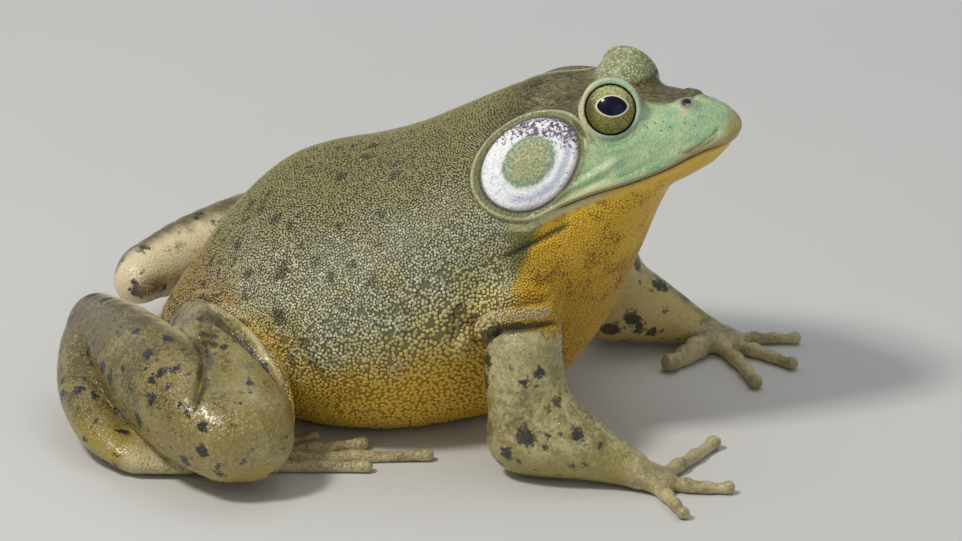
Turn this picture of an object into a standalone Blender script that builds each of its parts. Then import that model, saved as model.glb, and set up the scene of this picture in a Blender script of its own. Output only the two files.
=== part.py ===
"""American bullfrog, adult male, sitting with its head up: a life-size still model in parts.

The frog faces +X, its left side is +Y and it rests on z = 0. Tables are in millimetres.
Trunk, head and throat are one form, lofted through slices along X and parted by thin cuts.
Each limb is lofted along its bones, then cut clear of what it presses against.
"""
import math

import bmesh
import bpy
import numpy as np
from mathutils import Matrix, Vector

MM = 0.001                  # tables are millimetres, the model is metres
GAP = 0.34                  # clearance between neighbouring parts
FLOOR = 0.0                 # whatever would sink is planed flat at this height

# Trunk, throat and head: lines in side view as (x, z), and half-width as (x, y)
VENT, SNOUT = (-65.0, 15.5), (74.6, 75.2)
BACK_LINE = ((-65, 17), (-62, 22.5), (-57, 30.5), (-50, 41), (-43, 49.5), (-36, 55.5), (-28, 59),
             (-16, 62), (-6, 65.5), (6, 71.5), (18, 77.3), (30, 81), (42, 81.6), (52, 80.4),
             (62, 80.2), (68, 79.4), (72, 78), (74.6, 75.6))
BELLY_LINE = ((-65, 14), (-62, 10), (-54, 4), (-44, -1), (-30, -4), (-10, -4.5), (8, -2.5),
              (20, 1), (28, 5.5), (36.5, 14.5), (44, 26.5), (50.2, 41), (55, 53), (59, 60.4),
              (65, 64.6), (71, 68.6), (73.6, 71.8), (74.6, 74.4))
WIDEST_LINE = ((-65, 15.5), (-57, 19), (-44, 25), (-28, 29), (-10, 30), (4, 35), (14, 43),
               (23, 53), (31, 58.8), (50, 65.6), (62, 69.8), (70, 72.6), (74.6, 75))
HALF_WIDTH = ((-65, 2.5), (-63, 7), (-58, 12.5), (-50, 20), (-42, 29), (-34, 37), (-24, 42.5),
              (-12, 45), (0, 43.5), (10, 39), (20, 34), (30, 31), (40, 28.6), (50, 25),
              (59, 19.8), (66, 14.6), (71, 9.6), (73.6, 5.2), (74.6, 1.8))
SLICES, SLICE_POINTS = 29, 28
TRUNK_POWER, HEAD_POWER = 2.05, 2.5      # superellipse exponents of the slices
HEAD_STARTS, HEAD_BLEND = 5.0, 25.0      # where the flat head's exponent fades in

NECK_TOP, NECK_FOOT = (13.0, 80.0), (31.0, 12.0)     # the cut behind head and throat
MOUTH_CORNER, MOUTH_TIP = (31.0, 58.8), (73.0, 73.6)

EYE_CENTRE, EYE_RADIUS = Vector((46.2, -11.2, 81.1)), 6.6
EYE_AXIS, LID_OPENING = Vector((0.16, -0.90, 0.40)), 6.1
BROW_CENTRE, BROW_SIZE = Vector((46.1, -10.5, 79.4)), Vector((7.8, 8.8, 9.1))
BROW_ROOT, BROW_ROOT_SIZE = Vector((44.0, -11.5, 75.6)), Vector((11.5, 11.2, 6.3))
HEAD_TURN = 1.1                          # the head is turned a little left: that eye sits back
EAR_CENTRE, EAR_NORMAL = Vector((29.4, -25.4, 72.4)), Vector((-0.05, -0.85, 0.50))
EAR_RADIUS, EAR_DEPTH = 12.0, 5.0

# Limbs of the right side: x, y, z, half-width, half-thickness
UPPER_ARM = ((27, -24, 39, 7, 7), (30, -33.5, 34, 9, 9), (31.5, -38, 25, 9.3, 9.3),
             (33, -41, 16, 9, 9), (34.5, -42, 11, 8.4, 8.4))
FOREARM = ((32.5, -42, 9.6, 8, 8.8), (39, -42.4, 11.6, 9.4, 11), (46, -42.8, 9.6, 7.8, 8.6),
           (53, -43.2, 6.4, 5.6, 5.8), (60, -43.6, 3.8, 4.3, 3.6))
PALM = ((60.5, -43.6, 3.4, 4.3, 3.3), (64, -43.6, 2.8, 5.4, 2.7), (67, -43.2, 2.2, 4.8, 2.2))
FINGERS = (((61.5, -41, 3.1), (57, -34, 3), (52.5, -26.5, 2.2)),
           ((64, -41.5, 2.3), (68.5, -29.5, 1.9), (72.5, -17, 1.7)),
           ((66, -43.2, 2.3), (74, -43.8, 1.9), (81.5, -42.5, 1.6)),
           ((65, -46, 2.1), (70, -52.5, 1.8), (74.5, -59.5, 1.5)))
LEFT_FOREARM = ((32.5, -42, 9.2, 7.6, 8.2), (39, -43, 10, 8.6, 9.2), (46, -44, 7.9, 6.9, 7.2),
                (52, -44.8, 5.6, 5.4, 5.2), (57.5, -45, 3.8, 4.3, 3.5))
LEFT_PALM = ((58, -45, 3.3, 4.3, 3.2), (61.5, -44, 2.7, 5.4, 2.7), (64.5, -43, 2.2, 4.8, 2.2))
LEFT_FINGERS = (((59, -42.5, 3.1), (56, -35, 3), (52.5, -28, 2.2)),
                ((62, -41.5, 2.3), (69, -32, 1.9), (74.5, -22, 1.7)),
                ((64, -43, 2.3), (72.5, -40, 1.9), (80.5, -35.5, 1.6)),
                ((63, -46, 2.1), (70.5, -49.5, 1.8), (78, -51.5, 1.5)))
THIGH = ((-50, -14, 18, 8, 8), (-46, -24, 19.5, 12, 12), (-39.5, -40, 18.5, 13, 13),
         (-33, -55, 15.5, 12.4, 12.4), (-28.5, -65, 13.6, 11, 11))
SHANK = ((-33, -68.5, 13.4, 9.6, 10), (-42, -61, 15.8, 12, 12), (-54, -48, 18.2, 12, 12),
         (-67, -31, 19.6, 9.4, 9.6), (-76.5, -18, 19.2, 6.8, 6.8))
TARSUS = ((-78, -14, 18, 5.6, 5.6), (-78.5, -26, 15.5, 5.4, 5.6), (-75, -41, 11, 5.4, 5.4),
          (-67, -54.5, 7, 5.4, 4.6), (-58, -60.5, 4.2, 5.6, 3.6))
SOLE = ((-56.5, -61, 3.4, 5.4, 3.2), (-46, -57.5, 2.6, 6.4, 2.6), (-37, -53.5, 2.2, 6.6, 2.2))
TOES = (((-46, -52, 2.3), (-38, -44, 1.9), (-31, -37.5, 1.6)),
        ((-43, -53, 2.3), (-31, -43, 1.9), (-20, -34.5, 1.6)),
        ((-41, -54, 2.3), (-24, -44, 1.9), (-8, -35.5, 1.6)),
        ((-40, -55, 2.3), (-15, -46, 1.9), (8.5, -39, 1.5)),
        ((-41, -57.5, 2.3), (-22, -53, 1.9), (-4, -49, 1.6)))
WEB_REACH, WEB_SLACK, WEB_THICK = 0.86, 0.22, 0.9    # web's reach along each toe, its scallop
LEFT_LEG_SHIFT = (3.2, 2.5)              # the left hind leg is drawn up a little more: x, y

# Colour and roughness of each kind of part, by the first word of its name
COLOURS = {"head": ((0.21, 0.31, 0.13), 0.45), "throat": ((0.55, 0.38, 0.07), 0.5),
           "trunk": ((0.16, 0.17, 0.08), 0.5), "eardrum": ((0.45, 0.47, 0.42), 0.4),
           "eye": ((0.03, 0.03, 0.02), 0.05), "limb": ((0.2, 0.18, 0.07), 0.35)}


def clear_scene():
    for obj in list(bpy.data.objects):
        bpy.data.objects.remove(obj, do_unlink=True)
    for collection in list(bpy.data.collections):
        bpy.data.collections.remove(collection)


def smooth_line(points):
    """A function through (x, value) points: cubic Hermite with averaged slopes."""
    xs = np.array([p[0] for p in points], float)
    ys = np.array([p[1] for p in points], float)
    slopes = np.gradient(ys, xs)

    def value(x):
        k = int(np.clip(np.searchsorted(xs, x) - 1, 0, len(xs) - 2))
        h = xs[k + 1] - xs[k]
        t = (x - xs[k]) / h
        return float((2 * t**3 - 3 * t**2 + 1) * ys[k] + (t**3 - 2 * t**2 + t) * h * slopes[k]
                     + (3 * t**2 - 2 * t**3) * ys[k + 1] + (t**3 - t**2) * h * slopes[k + 1])
    return value


def smooth_rows(rows, steps):
    """Catmull-Rom through rows of numbers, with steps pieces between neighbours."""
    rows = np.array(rows, float)
    padded = np.vstack((2 * rows[0] - rows[1], rows, 2 * rows[-1] - rows[-2]))
    out = []
    for k in range(1, len(padded) - 2):
        a, b, c, d = padded[k - 1:k + 3]
        for t in np.arange(steps) / steps:
            out.append(0.5 * (2 * b + (c - a) * t + (2 * a - 5 * b + 4 * c - d) * t**2
                              + (3 * b - 3 * c + d - a) * t**3))
    return np.array(out + [rows[-1]])


def new_object(name, bm):
    mesh = bpy.data.meshes.new(name)
    bm.to_mesh(mesh)
    bm.free()
    obj = bpy.data.objects.new(name, mesh)
    bpy.context.scene.collection.objects.link(obj)
    return obj


def loft(name, rings, first_pole, last_pole):
    """A closed mesh through rings of equal length, closed by a point at each end."""
    bm = bmesh.new()
    loops = [[bm.verts.new(Vector(p) * MM) for p in ring] for ring in rings]
    count = len(loops[0])
    for near, far in zip(loops, loops[1:]):
        for k in range(count):
            j = (k + 1) % count
            bm.faces.new((near[k], near[j], far[j], far[k]))
    for loop, pole in ((loops[0], first_pole), (loops[-1], last_pole)):
        tip = bm.verts.new(Vector(pole) * MM)
        for k in range(count):
            bm.faces.new((loop[k], loop[(k + 1) % count], tip))
    bmesh.ops.recalc_face_normals(bm, faces=bm.faces)
    return new_object(name, bm)


def body_form():
    """Trunk, throat and head in one: a superellipse slice at each station along X."""
    back, belly = smooth_line(BACK_LINE), smooth_line(BELLY_LINE)
    widest, half_width = smooth_line(WIDEST_LINE), smooth_line(HALF_WIDTH)
    rings = []
    for t in (np.arange(SLICES) + 0.5) / SLICES:
        x = VENT[0] + (SNOUT[0] - VENT[0]) * (1 - math.cos(math.pi * t)) / 2
        mid, wide = widest(x), half_width(x)
        rise, fall = back(x) - mid, mid - belly(x)
        blend = min(1, max(0, (x - HEAD_STARTS) / HEAD_BLEND))
        upper = 2 / (TRUNK_POWER + (HEAD_POWER - TRUNK_POWER) * blend)
        ring = []
        for k in range(SLICE_POINTS):
            c, s = (f(2 * math.pi * k / SLICE_POINTS) for f in (math.cos, math.sin))
            power = upper if s > 0 else 2 / TRUNK_POWER
            reach = rise if s > 0 else fall
            ring.append((x, wide * math.copysign(abs(c)**power, c),
                         mid + reach * math.copysign(abs(s)**power, s)))
        rings.append(ring)
    return loft("body", rings, (VENT[0], 0, VENT[1]), (SNOUT[0], 0, SNOUT[1]))


def limb(name, rows, points=10, steps=2, domes=(0.55, 0.88)):
    """A tube of elliptical rings along a bone line, with domed ends."""
    path = smooth_rows(rows, steps)
    centres = [Vector(row[:3]) for row in path]
    last = len(path) - 1

    def ring(k, slide=0.0):
        forward = (centres[min(k + 1, last)] - centres[max(k - 1, 0)]).normalized()
        side = forward.cross(Vector((0, 0, 1))).normalized()
        over = side.cross(forward)
        wide, thick = path[k][3:5] * math.sqrt(1 - slide**2)
        centre = centres[k] + forward * slide * path[k][4]
        return [centre + side * wide * math.cos(a) + over * thick * math.sin(a)
                for a in (2 * math.pi * n / points for n in range(points))]

    def pole(k, slide):
        forward = (centres[min(k + 1, last)] - centres[max(k - 1, 0)]).normalized()
        return centres[k] + forward * slide * path[k][4]

    rings = [ring(0, -slide) for slide in reversed(domes)]
    rings += [ring(k) for k in range(last + 1)]
    rings += [ring(last, slide) for slide in domes]
    return loft(name, rings, pole(0, -1), pole(last, 1))


def digit(name, rows):
    """A finger or toe on the floor: its rows are x, y and radius."""
    return limb(name, [(x, y, r * 0.8, r, r) for x, y, r in rows], 6, 2, (0.75,))


def web(name, toes):
    """A thin sheet between the toes, scalloped between one toe and the next."""
    hubs = [Vector(toe[0][:2]) for toe in toes]
    lines = [smooth_rows([row[:2] for row in toe], 6) for toe in toes]
    edge = []
    for near, far in zip(lines, lines[1:]):
        tip_a = Vector(near[int(WEB_REACH * 12)])
        tip_b = Vector(far[int(WEB_REACH * 12)])
        inner = (Vector(near[5]) + Vector(far[5])) / 2
        for t in (0, 0.33, 0.67):
            point = tip_a.lerp(tip_b, t)
            edge.append(point.lerp(inner, 4 * t * (1 - t) * WEB_SLACK * 2))
    edge.append(Vector(lines[-1][int(WEB_REACH * 12)]))
    outline = [hubs[0]] + edge + [hubs[-1]]
    bm = bmesh.new()
    low = [bm.verts.new(Vector((p.x, p.y, 0.1)) * MM) for p in outline]
    face = bm.faces.new(low)
    made = bmesh.ops.extrude_face_region(bm, geom=[face])["geom"]
    for vert in (v for v in made if isinstance(v, bmesh.types.BMVert)):
        vert.co.z += WEB_THICK * MM
    bmesh.ops.recalc_face_normals(bm, faces=bm.faces)
    return new_object(name, bm)


def ball(name, centre, size, segments=16, rings=10):
    bm = bmesh.new()
    bmesh.ops.create_uvsphere(bm, u_segments=segments, v_segments=rings, radius=MM)
    bmesh.ops.scale(bm, vec=Vector(size), verts=bm.verts)
    bmesh.ops.translate(bm, vec=Vector(centre) * MM, verts=bm.verts)
    return new_object(name, bm)


def rod(name, start, axis, length, radius, segments=24):
    """A cylinder from start along axis."""
    bm = bmesh.new()
    bmesh.ops.create_cone(bm, cap_ends=True, segments=segments, radius1=radius * MM,
                          radius2=radius * MM, depth=length * MM)
    turn = Vector(axis).to_track_quat("Z", "Y").to_matrix().to_4x4()
    middle = Vector(start) + Vector(axis).normalized() * length / 2
    bmesh.ops.transform(bm, matrix=Matrix.Translation(middle * MM) @ turn, verts=bm.verts)
    return new_object(name, bm)


def duplicate(obj, name):
    twin = obj.copy()
    twin.data = obj.data.copy()
    twin.name = name
    bpy.context.scene.collection.objects.link(twin)
    return twin


def mirror(obj):
    """Turns a right-hand part into a left-hand one."""
    obj.data.transform(Matrix.Diagonal((1, -1, 1, 1)))
    obj.data.flip_normals()


def swollen(obj, amount=GAP):
    """A copy grown along its normals, to cut a neighbour clear."""
    grown = duplicate(obj, obj.name + "_clearance")
    bm = bmesh.new()
    bm.from_mesh(grown.data)
    bm.normal_update()
    for vert in bm.verts:
        vert.co += vert.normal * amount * MM
    bm.to_mesh(grown.data)
    bm.free()
    return grown


def combine(obj, other, operation, keep_other=False):
    """Applies a Boolean and keeps the largest body it leaves."""
    modifier = obj.modifiers.new("combine", "BOOLEAN")
    modifier.operation, modifier.solver, modifier.object = operation, "EXACT", other
    bpy.context.view_layer.update()
    result = bpy.data.meshes.new_from_object(obj.evaluated_get(bpy.context.evaluated_depsgraph_get()))
    obj.modifiers.clear()
    obj.data = result
    if not keep_other:
        bpy.data.objects.remove(other, do_unlink=True)
    keep_largest(obj)


def keep_largest(obj):
    bm = bmesh.new()
    bm.from_mesh(obj.data)
    bmesh.ops.remove_doubles(bm, verts=bm.verts, dist=1e-6)
    islands, seen = [], set()
    for start in bm.verts:
        if start in seen:
            continue
        island, queue = [], [start]
        seen.add(start)
        while queue:
            vert = queue.pop()
            island.append(vert)
            for edge in vert.link_edges:
                other = edge.other_vert(vert)
                if other not in seen:
                    seen.add(other)
                    queue.append(other)
        islands.append(island)
    islands.sort(key=len)
    for island in islands[:-1]:
        bmesh.ops.delete(bm, geom=island, context="VERTS")
    bm.to_mesh(obj.data)
    bm.free()


def plane_off(obj, point, normal):
    """Cuts away what lies beyond a plane and closes the cut."""
    bm = bmesh.new()
    bm.from_mesh(obj.data)
    geometry = bm.verts[:] + bm.edges[:] + bm.faces[:]
    bmesh.ops.bisect_plane(bm, geom=geometry, dist=1e-7, plane_co=Vector(point) * MM,
                           plane_no=Vector(normal), clear_outer=True)
    rim = [edge for edge in bm.edges if edge.is_boundary]
    if rim:
        bmesh.ops.holes_fill(bm, edges=rim, sides=0)
    bmesh.ops.recalc_face_normals(bm, faces=bm.faces)
    bm.to_mesh(obj.data)
    bm.free()
    keep_largest(obj)


def slant(first, second):
    """The normal of the plane that holds a side-view line and the Y axis."""
    run, rise = second[0] - first[0], second[1] - first[1]
    return Vector((-rise, 0, run)).normalized()


def head_and_trunk(body):
    """Parts the body form at the neck and the mouth, and sets the eardrums and eyes into it."""
    neck, mouth = slant(NECK_FOOT, NECK_TOP), slant(MOUTH_CORNER, MOUTH_TIP)
    neck_point = Vector((NECK_TOP[0], 0, NECK_TOP[1]))
    mouth_point = Vector((MOUTH_CORNER[0], 0, MOUTH_CORNER[1]))
    half_gap = GAP / 2
    trunk = duplicate(body, "trunk")
    plane_off(trunk, neck_point + neck * half_gap, -neck)
    head = duplicate(body, "head")
    plane_off(head, neck_point - neck * half_gap, neck)
    throat = duplicate(head, "throat")
    plane_off(throat, mouth_point - mouth * half_gap, mouth)
    plane_off(head, mouth_point + mouth * half_gap, -mouth)
    parts = [trunk, head, throat]
    for side, tag in ((1, "right"), (-1, "left")):
        flip = Vector((1, side, 1))
        back = Vector((min(side, 0) * HEAD_TURN, 0, 0))
        combine(head, ball("brow_root", BROW_ROOT * flip + back, BROW_ROOT_SIZE), "UNION")
        combine(head, ball("brow", BROW_CENTRE * flip + back, BROW_SIZE), "UNION")
        inward = EAR_NORMAL.normalized() * flip * -EAR_DEPTH
        ear = rod("eardrum_" + tag, EAR_CENTRE * flip + inward, EAR_NORMAL * flip, 12, EAR_RADIUS)
        combine(ear, body, "INTERSECT", keep_other=True)
        pocket = rod("pocket", EAR_CENTRE * flip + inward * (1 + GAP / EAR_DEPTH),
                     EAR_NORMAL * flip, 14, EAR_RADIUS + GAP)
        combine(head, pocket, "DIFFERENCE")
        centre = EYE_CENTRE * flip + back
        eye = ball("eye_" + tag, centre, (EYE_RADIUS,) * 3)
        socket = ball("socket", centre, (EYE_RADIUS + GAP,) * 3)
        opening = rod("opening", centre, EYE_AXIS * flip, 14, LID_OPENING, 16)
        combine(socket, opening, "UNION")
        combine(head, socket, "DIFFERENCE")
        parts += [ear, eye]
    return parts


def forelimb(tag, forearm_rows, palm_rows, finger_rows, body_clearance):
    """Upper arm, forearm and hand, each cut clear of the one before it."""
    upper_arm = limb("upper_arm_" + tag, UPPER_ARM)
    combine(upper_arm, body_clearance, "DIFFERENCE", keep_other=True)
    forearm = limb("forearm_" + tag, forearm_rows)
    combine(forearm, body_clearance, "DIFFERENCE", keep_other=True)
    combine(forearm, swollen(upper_arm), "DIFFERENCE")
    hand = limb("hand_" + tag, palm_rows)
    for rows in finger_rows:
        combine(hand, digit("finger", rows), "UNION")
    combine(hand, swollen(forearm), "DIFFERENCE")
    return [upper_arm, forearm, hand]


def hindlimb(tag, shift, body_clearance):
    """The folded leg: the thigh and shank lie on the foot, and make room for it."""
    def moved(rows):
        return [(row[0] + shift[0], row[1] + shift[1]) + tuple(row[2:]) for row in rows]

    toes = [moved(rows) for rows in TOES]
    foot = limb("foot_" + tag, moved(SOLE))
    combine(foot, web("web", toes), "UNION")
    for rows in toes:
        combine(foot, digit("toe", rows), "UNION")
    tarsus = limb("tarsus_" + tag, moved(TARSUS))
    combine(tarsus, body_clearance, "DIFFERENCE", keep_other=True)
    combine(foot, swollen(tarsus), "DIFFERENCE")
    thigh = limb("thigh_" + tag, moved(THIGH))
    combine(thigh, body_clearance, "DIFFERENCE", keep_other=True)
    combine(thigh, swollen(foot), "DIFFERENCE")
    shank = limb("shank_" + tag, moved(SHANK))
    combine(shank, body_clearance, "DIFFERENCE", keep_other=True)
    for neighbour in (foot, thigh, tarsus):
        combine(shank, swollen(neighbour), "DIFFERENCE")
    return [thigh, shank, tarsus, foot]


def finish(part):
    """Gives a part its material and smooth shading."""
    kind = part.name.split("_")[0]
    colour, roughness = COLOURS.get(kind, COLOURS["limb"])
    material = bpy.data.materials.new(part.name)
    material.use_nodes = True
    shader = material.node_tree.nodes["Principled BSDF"]
    shader.inputs["Base Color"].default_value = (*colour, 1)
    shader.inputs["Roughness"].default_value = roughness
    shader.inputs["Metallic"].default_value = 0.0
    part.data.materials.clear()
    part.data.materials.append(material)
    part.data.shade_smooth()
    part.data.set_sharp_from_angle(angle=math.radians(50))


def main():
    clear_scene()
    body = body_form()
    clearance = swollen(body)
    parts = head_and_trunk(body)
    parts += forelimb("right", FOREARM, PALM, FINGERS, clearance)
    parts += hindlimb("right", (0, 0), clearance)
    left = forelimb("left", LEFT_FOREARM, LEFT_PALM, LEFT_FINGERS, clearance)
    left += hindlimb("left", LEFT_LEG_SHIFT, clearance)
    for part in left:
        mirror(part)
    parts += left
    for scrap in (body, clearance):
        bpy.data.objects.remove(scrap, do_unlink=True)

    for part in parts:
        if min(corner[2] for corner in part.bound_box) < FLOOR:
            plane_off(part, (0, 0, FLOOR), (0, 0, -1))
    corners = np.array([corner for part in parts for corner in part.bound_box])
    middle = (corners.min(0) + corners.max(0)) / 2
    frog = bpy.data.collections.new("bullfrog")
    bpy.context.scene.collection.children.link(frog)
    for part in parts:
        part.data.transform(Matrix.Translation((-middle[0], -middle[1], 0)))
        finish(part)
        bpy.context.scene.collection.objects.unlink(part)
        frog.objects.link(part)


main()
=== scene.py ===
import math
import time

import bmesh
import bpy
import numpy as np
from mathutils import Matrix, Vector


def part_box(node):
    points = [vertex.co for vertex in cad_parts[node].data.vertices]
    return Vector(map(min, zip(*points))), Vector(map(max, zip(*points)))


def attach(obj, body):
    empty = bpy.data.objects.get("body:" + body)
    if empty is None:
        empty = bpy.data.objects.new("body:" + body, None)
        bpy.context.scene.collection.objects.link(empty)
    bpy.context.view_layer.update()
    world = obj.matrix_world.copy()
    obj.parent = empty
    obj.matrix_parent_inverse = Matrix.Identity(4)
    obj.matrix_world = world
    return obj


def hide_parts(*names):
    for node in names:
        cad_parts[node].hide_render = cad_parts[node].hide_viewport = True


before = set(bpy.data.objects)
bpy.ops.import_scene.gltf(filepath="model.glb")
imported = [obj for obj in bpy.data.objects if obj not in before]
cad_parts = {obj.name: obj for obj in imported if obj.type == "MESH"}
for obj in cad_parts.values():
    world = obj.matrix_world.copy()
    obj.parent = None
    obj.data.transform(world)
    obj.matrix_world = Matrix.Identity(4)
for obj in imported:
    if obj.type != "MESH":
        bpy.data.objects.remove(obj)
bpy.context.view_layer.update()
started = time.time()

mm = 0.001
trunkLow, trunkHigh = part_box("trunk")
# Tables are in millimetres. Their x starts 65 mm ahead of the rump's end, their y in mid-trunk.
tableOrigin = np.array([trunkLow.x / mm + 65, (trunkLow.y + trunkHigh.y) / 2 / mm, 0])


def report(stage):
    print(f"{stage}: {time.time() - started:.0f} s")


def toWorld(point):
    return Vector([(a + b) * mm for a, b in zip(point, tableOrigin)])


def placed(name, data):
    thing = bpy.data.objects.new(name, data)
    bpy.context.scene.collection.objects.link(thing)
    return thing


def unit(vector):
    vector = np.array(vector, float)
    return vector / np.linalg.norm(vector)


def mirrored(points):
    return [(p[0], -p[1]) + tuple(p[2:]) for p in points]


def operator(kind, flip=False):
    def act(self, other):
        pair = (other, self) if flip else (self, other)
        return self.paint.maths(kind, *pair)
    return act


def rgba(colour):  # of three numbers, or the name of one of the tones
    return (*(tones[colour] if isinstance(colour, str) else colour), 1)


class Wire:  # one socket of a material, for sums
    def __init__(self, paint, socket):
        self.paint, self.socket = paint, socket

    __add__ = __radd__ = operator("ADD")
    __mul__ = __rmul__ = operator("MULTIPLY")
    __sub__ = operator("SUBTRACT")
    __rsub__ = operator("SUBTRACT", flip=True)
    __truediv__ = operator("DIVIDE")
    __rtruediv__ = operator("DIVIDE", flip=True)
    __pow__ = operator("POWER")


class Paint:
    def __init__(self, name):
        self.material = bpy.data.materials.new(name)
        self.material.use_nodes = True
        self.tree = self.material.node_tree
        self.shader = self.tree.nodes["Principled BSDF"]

    def put(self, socket, value):
        if isinstance(value, Wire):
            self.tree.links.new(value.socket, socket)
        elif socket.type == "RGBA":
            socket.default_value = rgba(value)
        else:
            socket.default_value = value

    def node(self, kind, settings=None, sockets=None, out=0):
        node = self.tree.nodes.new(kind)
        for key, value in (settings or {}).items():
            if key == "stops":
                self.setStops(node.color_ramp, value)
            else:
                setattr(node, key, value)
        for key, value in (sockets or {}).items():
            self.put(node.inputs[key], value)
        return Wire(self, node.outputs[out])

    def setStops(self, ramp, stops):
        while len(ramp.elements) < len(stops):
            ramp.elements.new(1)
        for element, (place, colour) in zip(ramp.elements, stops):
            element.position, element.color = place, rgba(colour)

    def maths(self, kind, *values):
        return self.node("ShaderNodeMath", {"operation": kind}, dict(enumerate(values)))

    def vectors(self, kind, *values, out=0):
        return self.node("ShaderNodeVectorMath", {"operation": kind}, dict(enumerate(values)), out)

    def scaled(self, vector, amount):
        return self.node("ShaderNodeVectorMath", {"operation": "SCALE"}, {0: vector, "Scale": amount})

    def finish(self, **sockets):
        for key, value in sockets.items():
            self.put(self.shader.inputs[key.replace("_", " ")], value)
        return self.material

    def place(self):  # the point in the tables' millimetres
        here = self.node("ShaderNodeTexCoord", out=3)
        return self.node("ShaderNodeMapping", {}, {"Vector": here, "Scale": (1 / mm,) * 3,
                                                   "Location": tuple(-tableOrigin)})

    def stored(self, name, out=2):  # a number kept on the mesh; out 1 gives a vector
        return self.node("ShaderNodeAttribute", {"attribute_name": name}, out=out)

    def split(self, vector):
        wire = self.node("ShaderNodeSeparateXYZ", {}, {0: vector})
        return [Wire(self, socket) for socket in wire.socket.node.outputs]

    def join(self, *numbers):
        return self.node("ShaderNodeCombineXYZ", {}, dict(enumerate(numbers)))

    def length(self, *numbers):
        return self.vectors("LENGTH", self.join(*numbers), out=1)

    def reach(self, vector, point):  # the distance to a fixed point
        return self.vectors("DISTANCE", vector, tuple(point), out=1)

    def stretched(self, vector, factors):
        return self.vectors("MULTIPLY", vector, factors)

    def moved(self, vector, change, amount):  # a place shaken by a coloured noise
        centred = self.vectors("SUBTRACT", change, (0.5,) * 3)
        return self.vectors("ADD", vector, self.scaled(centred, amount))

    def fade(self, value, low, high):
        return self.node("ShaderNodeMapRange", {"interpolation_type": "SMOOTHSTEP"},
                         {"Value": value, "From Min": low, "From Max": high})

    def size(self, value):
        return self.maths("ABSOLUTE", value)

    def most(self, a, b):
        return self.maths("MAXIMUM", a, b)

    def band(self, value, middle, half):  # 1 at the middle, 0 from half away
        return self.fade(self.size(value - middle), half, 0)

    def noise(self, vector, scale, detail=3, rough=0.5, out=0):
        return self.node("ShaderNodeTexNoise", {}, {"Vector": vector, "Scale": scale, "Detail": detail,
                                                    "Roughness": rough}, out=out)

    def cells(self, vector, scale, out=0):
        return self.node("ShaderNodeTexVoronoi", {}, {"Vector": vector, "Scale": scale}, out)

    def blend(self, a, b, factor):
        return self.node("ShaderNodeMix", {"data_type": "RGBA"}, {0: factor, 6: a, 7: b}, out=2)

    def over(self, colour, *layers):  # each layer is a colour and how far it covers what is below
        for tone, cover in layers:
            colour = self.blend(colour, tone, cover)
        return colour

    def ramp(self, factor, *stops):
        return self.node("ShaderNodeValToRGB", {"stops": stops}, {0: factor})

    def bump(self, height, depth):
        return self.node("ShaderNodeBump", {}, {"Height": height, "Distance": depth * mm})


camera = {"azimuth": 13, "elevation": 22, "distance": 3000, "aim": (9.3, 13.6, 27.5),
          "across": 229, "sensor": 36}


def addCamera(spec):
    a, e = math.radians(spec["azimuth"]), math.radians(spec["elevation"])
    back = Vector((math.sin(a) * math.cos(e), -math.cos(a) * math.cos(e), math.sin(e)))
    data = bpy.data.cameras.new("camera")
    data.sensor_width = spec["sensor"]
    data.lens = spec["sensor"] * spec["distance"] / spec["across"]
    seer = placed("camera", data)
    seer.location = toWorld(spec["aim"]) + back * spec["distance"] * mm
    seer.rotation_euler = (-back).to_track_quat("-Z", "Y").to_euler()
    bpy.context.scene.camera = seer


lights = {
    "key": {"at": (-440, -480, 980), "size": 0.2, "power": 7.2, "tint": (1.0, 0.97, 0.9)},
    "fill": {"at": (900, -900, 420), "size": 1.1, "power": 1.5, "tint": (0.93, 0.97, 1.0)},
    "top": {"at": (120, 500, 1100), "size": 0.9, "power": 2.2, "tint": (0.96, 0.98, 1.0)},
    "rim": {"at": (-900, 700, 500), "size": 0.8, "power": 1.3, "tint": (1.0, 1.0, 1.0)},
}
sky = {"tint": (0.86, 0.9, 0.95), "strength": 0.3}


def addLights(table, aim=(5, 0, 35)):
    for name, spec in table.items():
        data = bpy.data.lights.new(name, "AREA")
        data.size, data.energy, data.color = spec["size"], spec["power"], spec["tint"]
        lamp = placed(name, data)
        lamp.location = toWorld(spec["at"])
        lamp.rotation_euler = (toWorld(aim) - lamp.location).to_track_quat("-Z", "Y").to_euler()
    world = bpy.data.worlds.new("studio")
    bpy.context.scene.world = world
    world.use_nodes = True
    inputs = world.node_tree.nodes["Background"].inputs
    inputs["Color"].default_value = rgba(sky["tint"])
    inputs["Strength"].default_value = sky["strength"]


addCamera(camera)
addLights(lights)
bpy.context.scene.view_settings.view_transform = "Standard"
report("camera and light")

# The clay is a block of distances on a grid, negative inside the animal. Its lines are (place, fine or not).
grain = {"fine": 0.36, "plain": 0.54, "quickFactor": 1.4,
         "x": ((-87, 0), (17, 1), (76, 0), (86, 0)),
         "y": ((-80, 0), (-34, 1), (-5, 0), (5, 1), (34, 0), (80, 0)),
         "z": ((-1.5, 0), (57, 1), (91, 1))}


def gridLine(stretches):
    factor = 1
    steps = (grain["plain"] * factor, grain["fine"] * factor)
    line = []
    for (start, fine), (end, _) in zip(stretches, stretches[1:]):
        line.append(np.linspace(start, end, round((end - start) / steps[fine]), endpoint=False))
    return np.concatenate(line + [[stretches[-1][0]]]).astype(np.float32)


def softMin(a, b, blend):
    h = np.maximum(blend - np.abs(a - b), 0)
    return np.minimum(a, b) - h * h / (4 * blend)


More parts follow.
